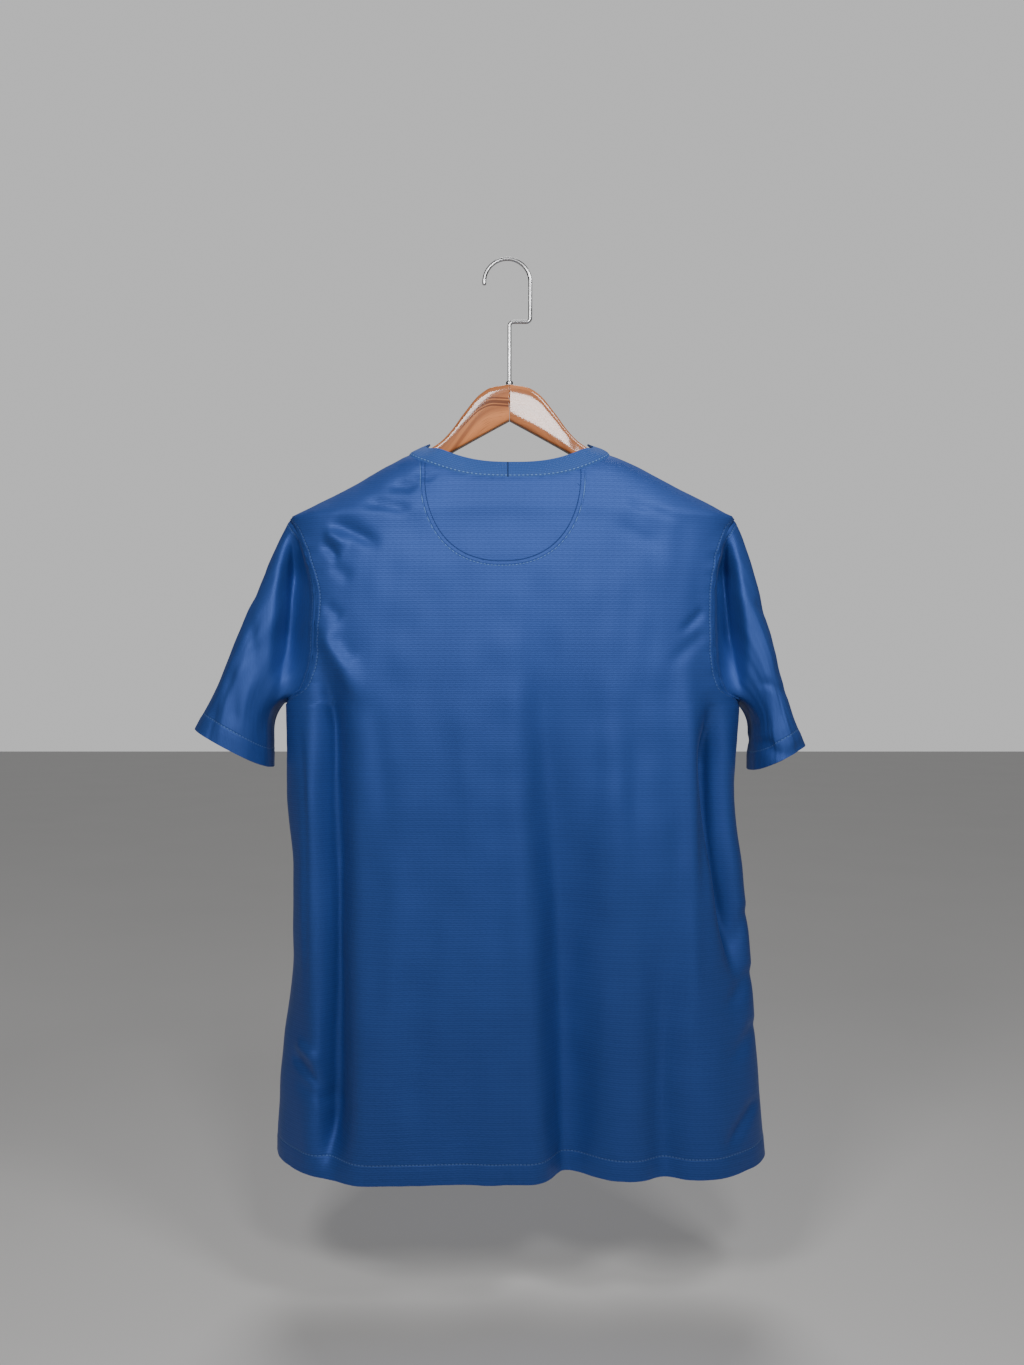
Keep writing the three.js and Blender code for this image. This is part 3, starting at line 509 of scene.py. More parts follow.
    def surface(self, side, u, edge):
        """Point and place along the cloth of a panel: columns are drawn in where a row dips, and
        squeezed towards the armholes' edges."""
        z = self.row_level(side, u, edge)
        dipped = edge - self.neck_dip(side, u, edge)
        lengths = self.length[side]
        share = (self.line(lengths, edge) / self.line(lengths, dipped)) ** NECK_DIP[side][4]
        near = [np.maximum(1 - q / ARMHOLE_SQUEEZE, 0) ** 2 for q in (u + 1, 1 - u)]
        first, last = (self.line(e, z) for e in self.edge[side])
        v = u * share + (first + 1) * near[0] + (last - 1) * near[1]
        return self.place(side, v, z), v

    def normal(self, side, u, edge):
        """Cross product of small steps across and up the panel."""
        across, up = self.SMALL_ACROSS, self.SMALL_UP
        a = self.surface(side, u + across, edge)[0] - self.surface(side, u - across, edge)[0]
        b = self.surface(side, u, edge + up)[0] - self.surface(side, u, edge - up)[0]
        return unit(np.cross(a, b))


BODY = Body()


def half_moon_distance(x, z):
    """First-order distance to a superellipse below its top line, and to its sides above it."""
    m = HALF_MOON
    a = np.abs(x - m["middle"]) / m["half"]
    b = np.maximum(m["top"] - z, 0) / m["tall"]
    q = np.maximum(a ** m["power"] + b ** m["power"], 1e-6) ** (1 / m["power"])
    ga = (a / q) ** (m["power"] - 1) / m["half"]
    gb = (b / q) ** (m["power"] - 1) / m["tall"]
    return (q - 1) / np.maximum(np.hypot(ga, gb), 1e-5)


def panel_grid(spacing):
    """Even columns and edge levels at about the spacing."""
    columns = int(PANEL_WIDE / spacing) + 1
    rows = int((NECK_LEVEL - HEM_LEVEL) / spacing) + 1
    u = np.linspace(-1, 1, columns)
    edge = np.linspace(NECK_LEVEL, HEM_LEVEL, rows)
    return np.broadcast_arrays(u[None, :], edge[:, None])


def panel_points(side, u, edge, creases, unevenness, moon=False):
    """Panel surface moved in along its normals by creases, swells, puckers and seam grooves."""
    points, v = BODY.surface(side, u, edge)
    normals = BODY.normal(side, u, edge)
    x, z = points[..., 0], points[..., 2]
    run = BODY.line(BODY.length[side], z)
    across = v * run / 2
    bounds = [BODY.line(e, z) for e in BODY.edge[side]]
    side_gap = np.minimum(v - bounds[0], bounds[1] - v) * run / 2
    neck_gap = (NECK_LEVEL - edge) * NECK_SLOPE
    hem_gap = z - BODY.row_level(side, u, np.full_like(edge, HEM_LEVEL))
    seed = 3 if side == "back" else 11
    low = smooth((-300 - z) / 260)
    soft = smooth(side_gap / 24) * smooth(neck_gap / 20)
    push = fold_depth(creases, x, z) * smooth(side_gap / 7) * smooth(neck_gap / 9)
    push += unevenness * soft * (0.06 + low) * swell(x, z, seed, 62, 300)
    push += unevenness * 0.2 * soft * swell(x, z, seed + 1, 38, 80)
    sewn = np.exp(-(side_gap / 11) ** 2) * smooth((z + 620) / 170)
    push += 0.55 * sewn * swell(across, z, seed + 2, 60, 15) * smooth(side_gap / 2)
    push += 0.3 * np.exp(-(neck_gap / 8) ** 2) * swell(across, z, seed + 3, 14, 60) * smooth(neck_gap / 2)
    push += 0.28 * np.exp(-(hem_gap / 22) ** 2) * swell(across, z, seed + 4, 22, 60)
    push += groove(side_gap, *SIDE_GROOVE) + groove(neck_gap, *NECK_GROOVE)
    push = turned_up(push, hem_gap, HEM_TURN)
    away = half_moon_distance(x, z) if moon else np.full_like(x, 99.0)
    push += groove(away, *MOON_GROOVE)
    points = points - normals * push[..., None]
    facts = {"across": across, "along": z, "side_gap": side_gap, "hem_gap": hem_gap, "moon_gap": away}
    return points, facts


def quads(rows, columns, closed=False):
    """Corner numbers of a grid's faces, its columns joined up where it is closed."""
    r = np.arange(rows - 1)[:, None]
    c = np.arange(columns if closed else columns - 1)[None, :]
    n = (c + 1) % columns
    return np.stack(np.broadcast_arrays(
        r * columns + c, (r + 1) * columns + c, (r + 1) * columns + n, r * columns + n), -1).reshape(-1, 4)


def outward(faces, points, inside):
    """Faces turned over where most of them look towards the point inside."""
    corners = points[faces[:, :3]]
    normal = np.cross(corners[:, 1] - corners[:, 0], corners[:, 2] - corners[:, 0])
    facing = np.einsum("ij,ij->i", normal, corners[:, 0] - np.asarray(inside))
    return faces[:, ::-1] if np.median(facing) < 0 else faces


def make_mesh(name, points, faces, facts=None, uv=None):
    """A smooth mesh object at the origin from points in millimetres, with its attributes."""
    mesh = bpy.data.meshes.new(name)
    lists = [f.tolist() for f in faces] if isinstance(faces, list) else [faces.tolist()]
    mesh.from_pydata((np.asarray(points).reshape(-1, 3) * MM).tolist(), [], sum(lists, []))
    mesh.shade_smooth()
    for key, values in (facts or {}).items():
        layer = mesh.attributes.new(key, "FLOAT", "POINT")
        layer.data.foreach_set("value", (np.asarray(values).ravel() * MM).astype(np.float32))
    if uv is not None:
        corner = np.zeros(len(mesh.loops), dtype=np.int32)
        mesh.loops.foreach_get("vertex_index", corner)
        flat = np.stack([np.asarray(uv[0]).ravel(), np.asarray(uv[1]).ravel()], -1)[corner] * MM
        mesh.uv_layers.new(name="cloth").data.foreach_set("uv", flat.ravel().astype(np.float32))
    piece = bpy.data.objects.new(name, mesh)
    bpy.context.scene.collection.objects.link(piece)
    return piece


def used_only(points, facts, faces):
    """Points, facts and faces with the points that no face uses left out."""
    flat = np.concatenate([f.ravel() for f in faces])
    kept, number = np.unique(flat, return_inverse=True)
    sizes = [f.size for f in faces]
    split = np.split(number, np.cumsum(sizes)[:-1])
    faces = [s.reshape(-1, f.shape[1]) for s, f in zip(split, faces)]
    return points.reshape(-1, 3)[kept], {k: v.ravel()[kept] for k, v in facts.items()}, faces


def thicken(piece, thickness):
    """A wall of even thickness inwards from the piece's outer face, crisp along its cut edges."""
    mesh = piece.data
    edge = np.zeros(len(mesh.loops), dtype=np.int32)
    mesh.loops.foreach_get("edge_index", edge)
    cut = np.bincount(edge, minlength=len(mesh.edges)) == 1
    mesh.attributes.new("sharp_edge", "BOOLEAN", "EDGE").data.foreach_set("value", cut)
    solid = piece.modifiers.new("Wall", "SOLIDIFY")
    solid.thickness = thickness
    solid.offset = -1.0
    solid.use_rim = True


def declare(piece, material, nodes):
    """The piece's material, body, slot and the nodes that it stands for."""
    piece.data.materials.append(material)
    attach(piece, "root")
    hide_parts(*nodes)


# Materials

class Nodes:
    """Short calls for the nodes of one material."""

    def __init__(self, name):
        """A material of this name with one shader joined to its output."""
        self.material = bpy.data.materials.get(name) or bpy.data.materials.new(name)
        self.material.use_nodes = True
        self.tree = self.material.node_tree
        self.tree.nodes.clear()
        self.shader = self.tree.nodes.new("ShaderNodeBsdfPrincipled")
        output = self.tree.nodes.new("ShaderNodeOutputMaterial")
        self.tree.links.new(self.shader.outputs[0], output.inputs["Surface"])

    def put(self, socket, value):
        """Link or set one input."""
        if isinstance(value, bpy.types.NodeSocket):
            self.tree.links.new(value, socket)
        else:
            socket.default_value = value

    def math(self, operation, *values):
        """A Math node on up to three values."""
        node = self.tree.nodes.new("ShaderNodeMath")
        node.operation = operation
        for socket, value in zip(node.inputs, values):
            self.put(socket, value)
        return node.outputs[0]

    def times(self, a, b):
        """Two values multiplied."""
        return self.math("MULTIPLY", a, b)

    def plus(self, a, b):
        """Two values added."""
        return self.math("ADD", a, b)

    def minus(self, a, b):
        """The second value taken from the first."""
        return self.math("SUBTRACT", a, b)

    def wave(self, value, pitch):
        """Sine of a value that comes round once in a pitch."""
        return self.math("SINE", self.times(value, 2 * np.pi / pitch))

    def look(self, values):
        """Set or link the shader's inputs by name, and give the material."""
        for name, value in values.items():
            self.put(self.shader.inputs[name], value)
        return self.material

    def attribute(self, name):
        """A number stored on the mesh's points."""
        node = self.tree.nodes.new("ShaderNodeAttribute")
        node.attribute_name = name
        return node.outputs["Fac"]

    def uv(self):
        """The two coordinates of the cloth."""
        node = self.tree.nodes.new("ShaderNodeUVMap")
        node.uv_map = "cloth"
        split = self.tree.nodes.new("ShaderNodeSeparateXYZ")
        self.tree.links.new(node.outputs[0], split.inputs[0])
        return node.outputs[0], split.outputs[0], split.outputs[1]

    def noise(self, vector, scale, detail):
        """A noise texture's value."""
        node = self.tree.nodes.new("ShaderNodeTexNoise")
        self.put(node.inputs["Vector"], vector)
        node.inputs["Scale"].default_value = scale
        node.inputs["Detail"].default_value = detail
        node.inputs["Roughness"].default_value = 0.5
        return node.outputs["Fac"]

    def stretch(self, vector, scale):
        """Coordinates multiplied along each axis."""
        node = self.tree.nodes.new("ShaderNodeMapping")
        self.put(node.inputs["Vector"], vector)
        node.inputs["Scale"].default_value = scale
        return node.outputs[0]

    def mix(self, factor, a, b):
        """Two colours mixed by a factor."""
        node = self.tree.nodes.new("ShaderNodeMix")
        node.data_type = "RGBA"
        self.put(node.inputs["Factor"], factor)
        self.put(node.inputs["A"], a)
        self.put(node.inputs["B"], b)
        return node.outputs["Result"]

    def ramp(self, value, low, high, to_low=0.0, to_high=1.0):
        """A value's range mapped smoothly to another."""
        node = self.tree.nodes.new("ShaderNodeMapRange")
        node.interpolation_type = "SMOOTHSTEP"
        for socket, number in zip(node.inputs, (value, low, high, to_low, to_high)):
            self.put(socket, number)
        return node.outputs[0]

    def band(self, value, middle, half, soft):
        """One within half of the middle, fading to zero over soft."""
        apart = self.math("ABSOLUTE", self.minus(value, middle))
        return self.ramp(apart, half, half + soft, 1.0, 0.0)

    def bump(self, height):
        """The normal bent by a height in metres."""
        node = self.tree.nodes.new("ShaderNodeBump")
        node.inputs["Strength"].default_value = 1.0
        node.inputs["Distance"].default_value = 1.0
        self.put(node.inputs["Height"], height)
        self.tree.links.new(node.outputs[0], self.shader.inputs["Normal"])


def rgba(colour, gain=1.0):
    """A colour with its alpha, brighter or darker by a gain."""
    return tuple(min(c * gain, 1.0) for c in colour) + (1.0,)


def knit_material(cloth, name, colour, seam_shades, stitches):
    """Rows of knit with a brick-like offset, seam lines darkened with painted shade, and rows of small
    stitches.

    Each seam entry holds (attribute, middle, half) for one line of painted shade, and stitches holds
    (attribute, middle, run) for each row, the run being the coordinate along it.
    """
    n = Nodes(name)
    vector, across, along = n.uv()
    drift = n.noise(n.stretch(vector, (18, 40, 1)), 1.0, 2.0)
    wavy = n.plus(along, n.times(n.minus(drift, 0.5), 0.0012))
    turn = 2 * np.pi / cloth.rib_pitch
    row = n.math("SINE", n.times(wavy, turn))
    offset = n.times(n.math("SINE", n.times(wavy, turn / 2)), 1.6)
    dash = n.math("SINE", n.plus(n.times(across, 2 * np.pi / BRICK_LONG), offset))
    block = n.math("SINE", n.times(wavy, turn / 2.67))
    yarn = n.noise(n.stretch(vector, (420, 1300, 1)), 1.0, 2.0)
    worn = n.noise(n.stretch(vector, (9, 5, 1)), 1.0, 3.0)
    rib = n.plus(n.times(row, 0.3), n.times(dash, 0.08))
    rib = n.plus(rib, n.times(block, 0.1))
    rib = n.plus(rib, n.times(n.minus(yarn, 0.5), 0.9))
    shade = n.ramp(rib, -0.95, 0.95)
    base = n.mix(shade, rgba(colour, 0.84), rgba(colour, 1.16))
    base = n.mix(n.ramp(worn, 0.3, 0.7, 0.0, 0.16), base, rgba(colour, 1.5))
    height = n.times(rib, 0.00008)
    # Painted shade: each seam line darkens the knit's colour as if shaded in its groove; the height only
    # sinks the groove
    for attribute, middle, half in seam_shades:
        line = n.band(n.attribute(attribute), middle, half, SEAM_SHADE_SOFT)
        base = n.mix(n.times(line, 0.5), base, rgba(colour, 0.28))
        height = n.minus(height, n.times(line, 0.0003))
    for attribute, middle, run in stitches:
        line = n.band(n.attribute(attribute), middle, STITCH_HALF, STITCH_SOFT)
        gaps = n.wave(across if run == "across" else along, STITCH_PITCH)
        thread = n.times(line, n.ramp(gaps, -0.55, -0.15))
        base = n.mix(n.times(thread, 0.4), base, rgba(cloth.thread_colour))
        sunk = n.band(n.attribute(attribute), middle, 0.0003, 0.0012)
        height = n.minus(height, n.times(sunk, 0.0003))
        height = n.plus(height, n.times(thread, 0.0003))
    n.bump(height)
    return n.look({
        "Base Color": base, "Roughness": n.ramp(rib, -1.0, 1.0, 0.6, 0.5), "Specular IOR Level": 0.25,
        "Metallic": 0.34, "Sheen Weight": 0.06, "Sheen Roughness": 0.45, "Sheen Tint": SHEEN_TINT})


def rib_material(cloth):
    """Fine upright ribs along the collar with stitches beside its seam and a centre join darkened with
    painted shade.
    """
    n = Nodes("collar_rib")
    vector, across, along = n.uv()
    row = n.wave(along, COLLAR_ROW)
    loop = n.wave(across, COLLAR_LOOP)
    yarn = n.noise(n.stretch(vector, (900, 700, 1)), 1.0, 2.0)
    rib = n.plus(n.times(row, 0.35), n.times(loop, 0.25))
    rib = n.plus(rib, n.times(n.minus(yarn, 0.5), 0.8))
    base = n.mix(n.ramp(rib, -0.9, 0.9), rgba(cloth.rib_colour, 0.7), rgba(cloth.rib_colour, 1.3))
    height = n.times(rib, 0.00012)
    # Painted shade: the centre join is darkened as if shaded in its crease, and its height is sunk
    join_shade = n.times(n.band(n.attribute("join_gap"), 0.0, 0.0003, 0.0006), 0.8)
    base = n.mix(join_shade, base, rgba(cloth.rib_colour, 0.2))
    height = n.minus(height, n.times(join_shade, 0.0005))
    line = n.band(along, 0.0022, 0.0004, 0.0003)
    thread = n.times(line, n.ramp(n.wave(across, COLLAR_STITCH_PITCH), -0.2, 0.2))
    base = n.mix(n.times(thread, 0.5), base, rgba(cloth.thread_colour, 1.3))
    height = n.plus(height, n.times(thread, 0.0003))
    n.bump(height)
    return n.look({
        "Base Color": base, "Roughness": 0.7, "Specular IOR Level": 0.3,
        "Sheen Weight": 0.08, "Sheen Roughness": 0.45, "Sheen Tint": SHEEN_TINT})


def wood_material(hanger):
    """Grain bent along the arm, with pores, dark marks and a pale lower edge, under a clear coat."""
    n = Nodes("hanger_wood")
    vector, along, up = n.uv()
    warp = n.noise(n.stretch(vector, (6, 40, 1)), 1.0, 2.0)
    ring = n.plus(n.times(up, 420.0), n.times(warp, 9.0))
    grain = n.plus(n.times(n.math("SINE", ring), 0.5), 0.5)
    pores = n.noise(n.stretch(vector, (60, 1500, 1)), 1.0, 3.0)
    streak = n.ramp(n.noise(n.stretch(vector, (5, 90, 1)), 1.0, 2.0), 0.45, 0.62)
    base = n.mix(n.times(grain, 0.3), rgba(hanger.wood_light), rgba(hanger.wood_dark, 1.8))
    base = n.mix(n.times(streak, 0.35), base, rgba(hanger.wood_dark))
    pale = n.times(n.ramp(up, -0.031, -0.024, 1.0, 0.0), n.ramp(along, 0.05, 0.07, 0.6, 0.0))
    base = n.mix(pale, base, rgba(hanger.wood_light, 1.35))
    lean = n.minus(up, n.times(along, 0.23))
    lean = n.plus(lean, n.times(n.minus(warp, 0.5), 0.005))
    for middle, half in WOOD_MARKS:
        mark = n.times(n.band(lean, middle, half, 0.0009), n.ramp(along, 0.04, 0.06, 0.85, 0.0))
        base = n.mix(mark, base, rgba(hanger.wood_dark, 0.8))
    base = n.mix(n.ramp(pores, 0.56, 0.7, 0.0, 0.5), base, rgba(hanger.wood_dark, 0.7))
    n.bump(n.times(n.plus(pores, grain), 0.00001))
    return n.look({
        "Base Color": base, "Roughness": n.ramp(pores, 0.3, 0.7, 0.5, 0.6), "Specular IOR Level": 0.2,
        "Coat Weight": 1.0, "Coat Roughness": 0.1})


def steel_material():
    """Bright plated wire with faint draw marks."""
    n = Nodes("hook_steel")
    vector = n.uv()[0]
    marks = n.noise(n.stretch(vector, (30, 900, 1)), 1.0, 3.0)
    spots = n.noise(n.stretch(vector, (260, 260, 1)), 1.0, 3.0)
    base = n.mix(n.ramp(spots, 0.55, 0.75, 0.0, 0.5), STEEL_BRIGHT, STEEL_DULL)
    n.bump(n.times(marks, 0.00003))
    return n.look({"Base Color": base, "Metallic": 1.0, "Roughness": n.ramp(marks, 0.3, 0.7, 0.2, 0.36)})


def floor_material(colour):
    """A pale matt floor with slight mottling."""
    n = Nodes("pale_floor")
    node = n.tree.nodes.new("ShaderNodeTexCoord")
    mottle = n.noise(node.outputs["Object"], 3.0, 4.0)
    return n.look({"Base Color": n.mix(mottle, rgba(colour, 0.97), rgba(colour, 1.03)), "Roughness": 0.85})


# Pieces

def snap_to_moon(u, edge, spacing):
    """Points nearest the half-moon's outline moved onto it by the distance times its gradient.

    Rows beside the neck keep their level and move along themselves. Gives the distances before
    the last move, and which points were caught.
    """
    held = edge > NECK_LEVEL - NECK_HELD
    caught = None
    for _ in range(SNAP_ROUNDS):
        plain = BODY.surface("back", u, edge)[0]
        x, z = plain[..., 0], plain[..., 2]
        d = half_moon_distance(x, z)
        if caught is None:
            caught = (np.abs(d) < spacing * 0.52) & (z > HALF_MOON["top"] - HALF_MOON["tall"] - 20)
        gx = (half_moon_distance(x + 0.1, z) - half_moon_distance(x - 0.1, z)) / 0.2
        gz = (half_moon_distance(x, z + 0.1) - half_moon_distance(x, z - 0.1)) / 0.2
        move = np.where(caught, d, 0)
        step_x = np.gradient(x, axis=1) / np.gradient(u, axis=1)
        step_z = np.gradient(z, axis=0) / np.gradient(edge, axis=0)
        slope = np.where(np.abs(gx) > 0.2, gx, 1)
        u -= move * np.where(held, 1 / slope, gx) / step_x
        edge -= np.where(held, 0, move * gz / step_z)
    return d, caught


def shared_out(faces, distance, caught):
    """Faces inside and outside the outline, those that it crosses cut into triangles along it."""
    flat = distance.ravel()
    sign = np.where(caught, 0, np.sign(distance)).ravel()
    corners = sign[faces]
    split = (corners.min(1) < 0) & (corners.max(1) > 0)
    first = split & (corners[:, 0] == 0) & (corners[:, 2] == 0)
    other = split & ~first
    triangles = np.concatenate([faces[first][:, [0, 1, 2]], faces[first][:, [0, 2, 3]],
                                faces[other][:, [0, 1, 3]], faces[other][:, [1, 2, 3]]])
    parts = (faces[~split], triangles)
    inside = [np.where(sign[f].sum(1) == 0, flat[f].mean(1) < 0, sign[f].sum(1) < 0) for f in parts]
    return parts, inside


class JERSEY_OT_back(bpy.types.Operator):
    """Make the back panel and the half-moon set into its neck"""
    bl_idname = "jersey.back"
    bl_label = "Back and half-moon"

    def execute(self, context):
        """Snap the grid's points to the half-moon's outline and share its faces out."""
        cloth = context.scene.jersey_cloth
        spacing = cloth.spacing / MM
        u, edge = (a.copy() for a in panel_grid(spacing))
        distance, caught = snap_to_moon(u, edge, spacing)
        points, facts = panel_points("back", u, edge, BACK_CREASES, cloth.unevenness / MM, moon=True)
        faces = outward(quads(*u.shape), points.reshape(-1, 3), BODY_INSIDE)
        parts, inside = shared_out(faces, distance, caught)
        stitches = [("side_gap", 0.0052, "along"), ("hem_gap", HEM_TURN * MM, "across"),
                    ("moon_gap", 0.0042, "across")]
        # The dark line along the half-moon's outline is painted shade of the seam's groove
        knit = knit_material(cloth, "knit", cloth.colour, [("moon_gap", 0.0, 0.0)], stitches)
        for name, keep in (("back_cloth", False), ("half_moon", True)):
            chosen = [f[i == keep] for f, i in zip(parts, inside)]
            own, own_facts, own_faces = used_only(points, facts, [c for c in chosen if len(c)])
            piece = make_mesh(name, own, own_faces, own_facts, (own_facts["across"], own_facts["along"]))
            thicken(piece, cloth.thickness)
            declare(piece, knit, ["neck_yoke"] if keep else ["back_panel"])
        return {"FINISHED"}


class JERSEY_OT_front(bpy.types.Operator):
    """Make the front panel"""
    bl_idname = "jersey.front"
    bl_label = "Front"

    def execute(self, context):
        """The front half of the body's surface on an even grid."""
        cloth = context.scene.jersey_cloth
        u, edge = panel_grid(cloth.spacing / MM)
        points, facts = panel_points("front", u, edge, FRONT_CREASES, cloth.unevenness / MM)
        faces = outward(quads(*u.shape), points.reshape(-1, 3), BODY_INSIDE)
        piece = make_mesh("front_cloth", points, faces, facts, (facts["across"], facts["along"]))
        thicken(piece, cloth.thickness)
        declare(piece, bpy.data.materials["knit"], ["front_panel"])
        return {"FINISHED"}


def armhole_root(hand, count):
    """Points just outside the armhole's edge, from the tip down the back and up the front."""
    outermost = np.full(count, -1.0 if hand == "left" else 1.0)
    turn = np.arange(count) / count
    down = (1 - np.cos(2 * np.pi * turn)) / 2
    level = TIP_LEVEL + (ARMPIT_LEVEL - TIP_LEVEL) * down
    back = turn <= 0.5
    sides = (("back", outermost), ("front", -outermost))
    points = np.where(back[:, None], *(BODY.surface(side, u, level)[0] for side, u in sides))
    normals = np.where(back[:, None], *(BODY.normal(side, u, level) for side, u in sides))
    corner = (turn == 0) | (turn == 0.5)
    normals[corner, 1] = 0
    normals = unit(normals)
    along = unit(np.roll(points, -1, 0) - np.roll(points, 1, 0))
    away = unit(np.cross(along, normals)) * (1 if hand == "left" else -1)
    return points + away * ROOT_STANDOFF


def ring_value(loop, turn):
    """Values of a closed loop blended at turns from 0 to 1."""
    spot = (turn % 1) * len(loop)
    i = np.floor(spot).astype(int) % len(loop)
    t = (spot - np.floor(spot))[..., None]
    return loop[i] * (1 - t) + loop[(i + 1) % len(loop)] * t


class JERSEY_OT_sleeves(bpy.types.Operator):
    """Make the two short sleeves"""
    bl_idname = "jersey.sleeves"
    bl_label = "Sleeves"

    def execute(self, context):
        """From the armhole's loop to a rounded square tube, pressed in by folds."""
        cloth = context.scene.jersey_cloth
        stitches = [("cuff_gap", CUFF_TURN * MM, "across"), ("root_gap", 0.0045, "across")]
        knit = knit_material(cloth, "sleeve_knit", cloth.colour, [], stitches)
        for hand in ("left", "right"):
            turn, s = np.broadcast_arrays(
                np.arange(SLEEVE_ROUND)[None, :] / SLEEVE_ROUND, np.linspace(0, 1, SLEEVE_ROWS)[:, None])
            size = {c: track(SLEEVES[hand], c, s, "s") for c in SLEEVES[hand] if c != "s"}
            angle, power = turn * 2 * np.pi, 2 / SLEEVE_SQUARE
            lengthwise = np.sign(np.cos(angle)) * np.abs(np.cos(angle)) ** power
            out = np.abs(np.sin(angle)) ** power * np.where(turn <= 0.5, -size["back"], size["front"])
            tube = np.stack([
                (size["top_x"] + size["low_x"]) / 2 + (size["top_x"] - size["low_x"]) / 2 * lengthwise,
                size["middle"] + out,
                (size["top_z"] + size["low_z"]) / 2 + (size["top_z"] - size["low_z"]) / 2 * lengthwise
                - CUFF_TILT * s * out], -1)
            root = ring_value(armhole_root(hand, SLEEVE_ROUND), turn)
            free = (1 - (1 - np.minimum(s / ROOT_REACH, 1)) ** 2)[..., None]
            points = root * (1 - free) + tube * free
            inward = np.where(turn <= 0.5, *FOLD_SHARE)
            loose = smooth(s / 0.08) * smooth(np.abs(np.sin(angle)) / 0.35)
            fold = fold_depth(SLEEVE_FOLDS[hand], points[..., 0], points[..., 2])
            points[..., 1] += inward * loose * fold
            normals = grid_normals(points, closed=True)
            middle = points.mean(axis=(0, 1))
            if np.median(np.einsum("ijk,ijk->ij", normals, points - middle)) < 0:
                normals = -normals
            long = np.cumsum(np.linalg.norm(np.diff(points, axis=0, prepend=points[:1]), axis=-1), 0)
            steps = np.linalg.norm(np.diff(points, axis=1, prepend=points[:, -1:]), axis=-1)
            round_run = np.cumsum(steps, 1)
            around = np.broadcast_to(round_run[:1], long.shape)
            cuff_gap = long[-1:] - long
            seed = 21 if hand == "left" else 31
            x, z = points[..., 0], points[..., 2]
            crease = fold_depth(SLEEVE_CREASES[hand], x, z) * smooth(np.abs(np.sin(angle)) / 0.3)
            push = crease * smooth(long / 14)
            push += 0.5 * smooth(long / 30) * swell(around, long, seed, 60, 130)
            push += 0.15 * smooth(long / 6) * swell(around, long, seed + 1, 24, 40)
            push += 0.45 * np.exp(-(long / 12) ** 2) * swell(around, long, seed + 2, 15, 60)
            push += groove(long, *ROOT_GROOVE)
            push = turned_up(push, cuff_gap, CUFF_TURN)
            points = points - normals * push[..., None]
            faces = quads(SLEEVE_ROWS, SLEEVE_ROUND, closed=True)
            faces = outward(faces, points.reshape(-1, 3), middle)
            facts = {"cuff_gap": cuff_gap, "root_gap": long}
            piece = make_mesh("sleeve_cloth_" + hand, points, faces, facts, (round_run, -long))
            thicken(piece, cloth.thickness)
            declare(piece, knit, ["sleeve_" + hand])
        return {"FINISHED"}


class JERSEY_OT_collar(bpy.types.Operator):
    """Make the ribbed collar band"""
    bl_idname = "jersey.collar"
    bl_label = "Collar"

    def execute(self, context):
        """A band carried round the neckline, leaning in over it, bowed across its width."""
        cloth = context.scene.jersey_cloth
        u = np.linspace(-1, 1, COLLAR_ROUND, endpoint=False)
        level = np.full(COLLAR_ROUND, NECK_LEVEL)
        loop = np.concatenate([BODY.surface(side, u, level)[0] for side in ("back", "front")])
        normals = np.concatenate([BODY.normal(side, u, level) for side in ("back", "front")])
        along = unit(np.roll(loop, -1, 0) - np.roll(loop, 1, 0))
        away = unit(np.cross(normals, along))
        side = np.abs(np.concatenate([u, u]))
        back = np.arange(len(loop)) < COLLAR_ROUND
        lean = np.where(back, 0.55 - 0.13 * side ** 2 + 0.46 * smooth((side - 0.8) / 0.2),
                        0.5 + 0.38 * side ** 2)[:, None]
        inward = np.stack([-loop[:, 0], (6 - loop[:, 1]) * 2.2, np.zeros(len(loop))], -1)
        rise = unit(inward) * lean
        rise[:, 2] = np.sqrt(1 - lean[:, 0] ** 2)
        face = unit(np.cross(along, rise))
        width = np.linspace(0, 1, COLLAR_ROWS)[:, None]
        t = width[..., None]
        run = np.cumsum(np.linalg.norm(np.diff(loop, axis=0, prepend=loop[-1:]), axis=-1))
        bow = 1.1 * np.sin(np.pi * width ** 0.8) - 0.9 * np.exp(-(width * COLLAR_WIDE / 1.6) ** 2)
        bow = bow + 0.35 * swell(run[None, :], width * COLLAR_WIDE, 41, 30, 60) * np.sin(np.pi * width)
        points = loop - away * SEAM_TUCK + rise * t * COLLAR_WIDE
        turned = face * t + normals * (1 - t)
        points = points + unit(turned) * bow[..., None]
        faces = outward(quads(COLLAR_ROWS, len(loop), closed=True), points.reshape(-1, 3), NECK_INSIDE)
        across = np.broadcast_to(run[None, :], points.shape[:2])
        up = np.broadcast_to(width * COLLAR_WIDE, across.shape)
        # join_gap places the painted shade along the collar's centre join
        facts = {"join_gap": np.where(back, points[..., 0] + 1.5, 99.0)}
        piece = make_mesh("collar_rib_band", points, faces, facts, (across, up))
        thicken(piece, COLLAR_WALL)
        declare(piece, rib_material(cloth), ["collar_band"])
        return {"FINISHED"}


def capped(points):
    """Faces of a grid of closed rings, and one face over each end."""
    rows, columns = points.shape[:2]
    ring = np.arange(columns)
    return [quads(rows, columns, closed=True), np.stack([ring, (rows - 1) * columns + ring[::-1]])]


def close(piece):
    """Doubles merged and every face turned outwards on a closed solid."""
    mesh = bmesh.new()
    mesh.from_mesh(piece.data)
    bmesh.ops.remove_doubles(mesh, verts=mesh.verts, dist=1e-6)
    bmesh.ops.recalc_face_normals(mesh, faces=mesh.faces)
    mesh.to_mesh(piece.data)
    mesh.free()
    piece.data.shade_smooth()


def squared(v):
    """A power of a sine or cosine with its sign kept, which makes a circle a rounded square."""
    return np.sign(v) * np.abs(v) ** ARM_SQUARE


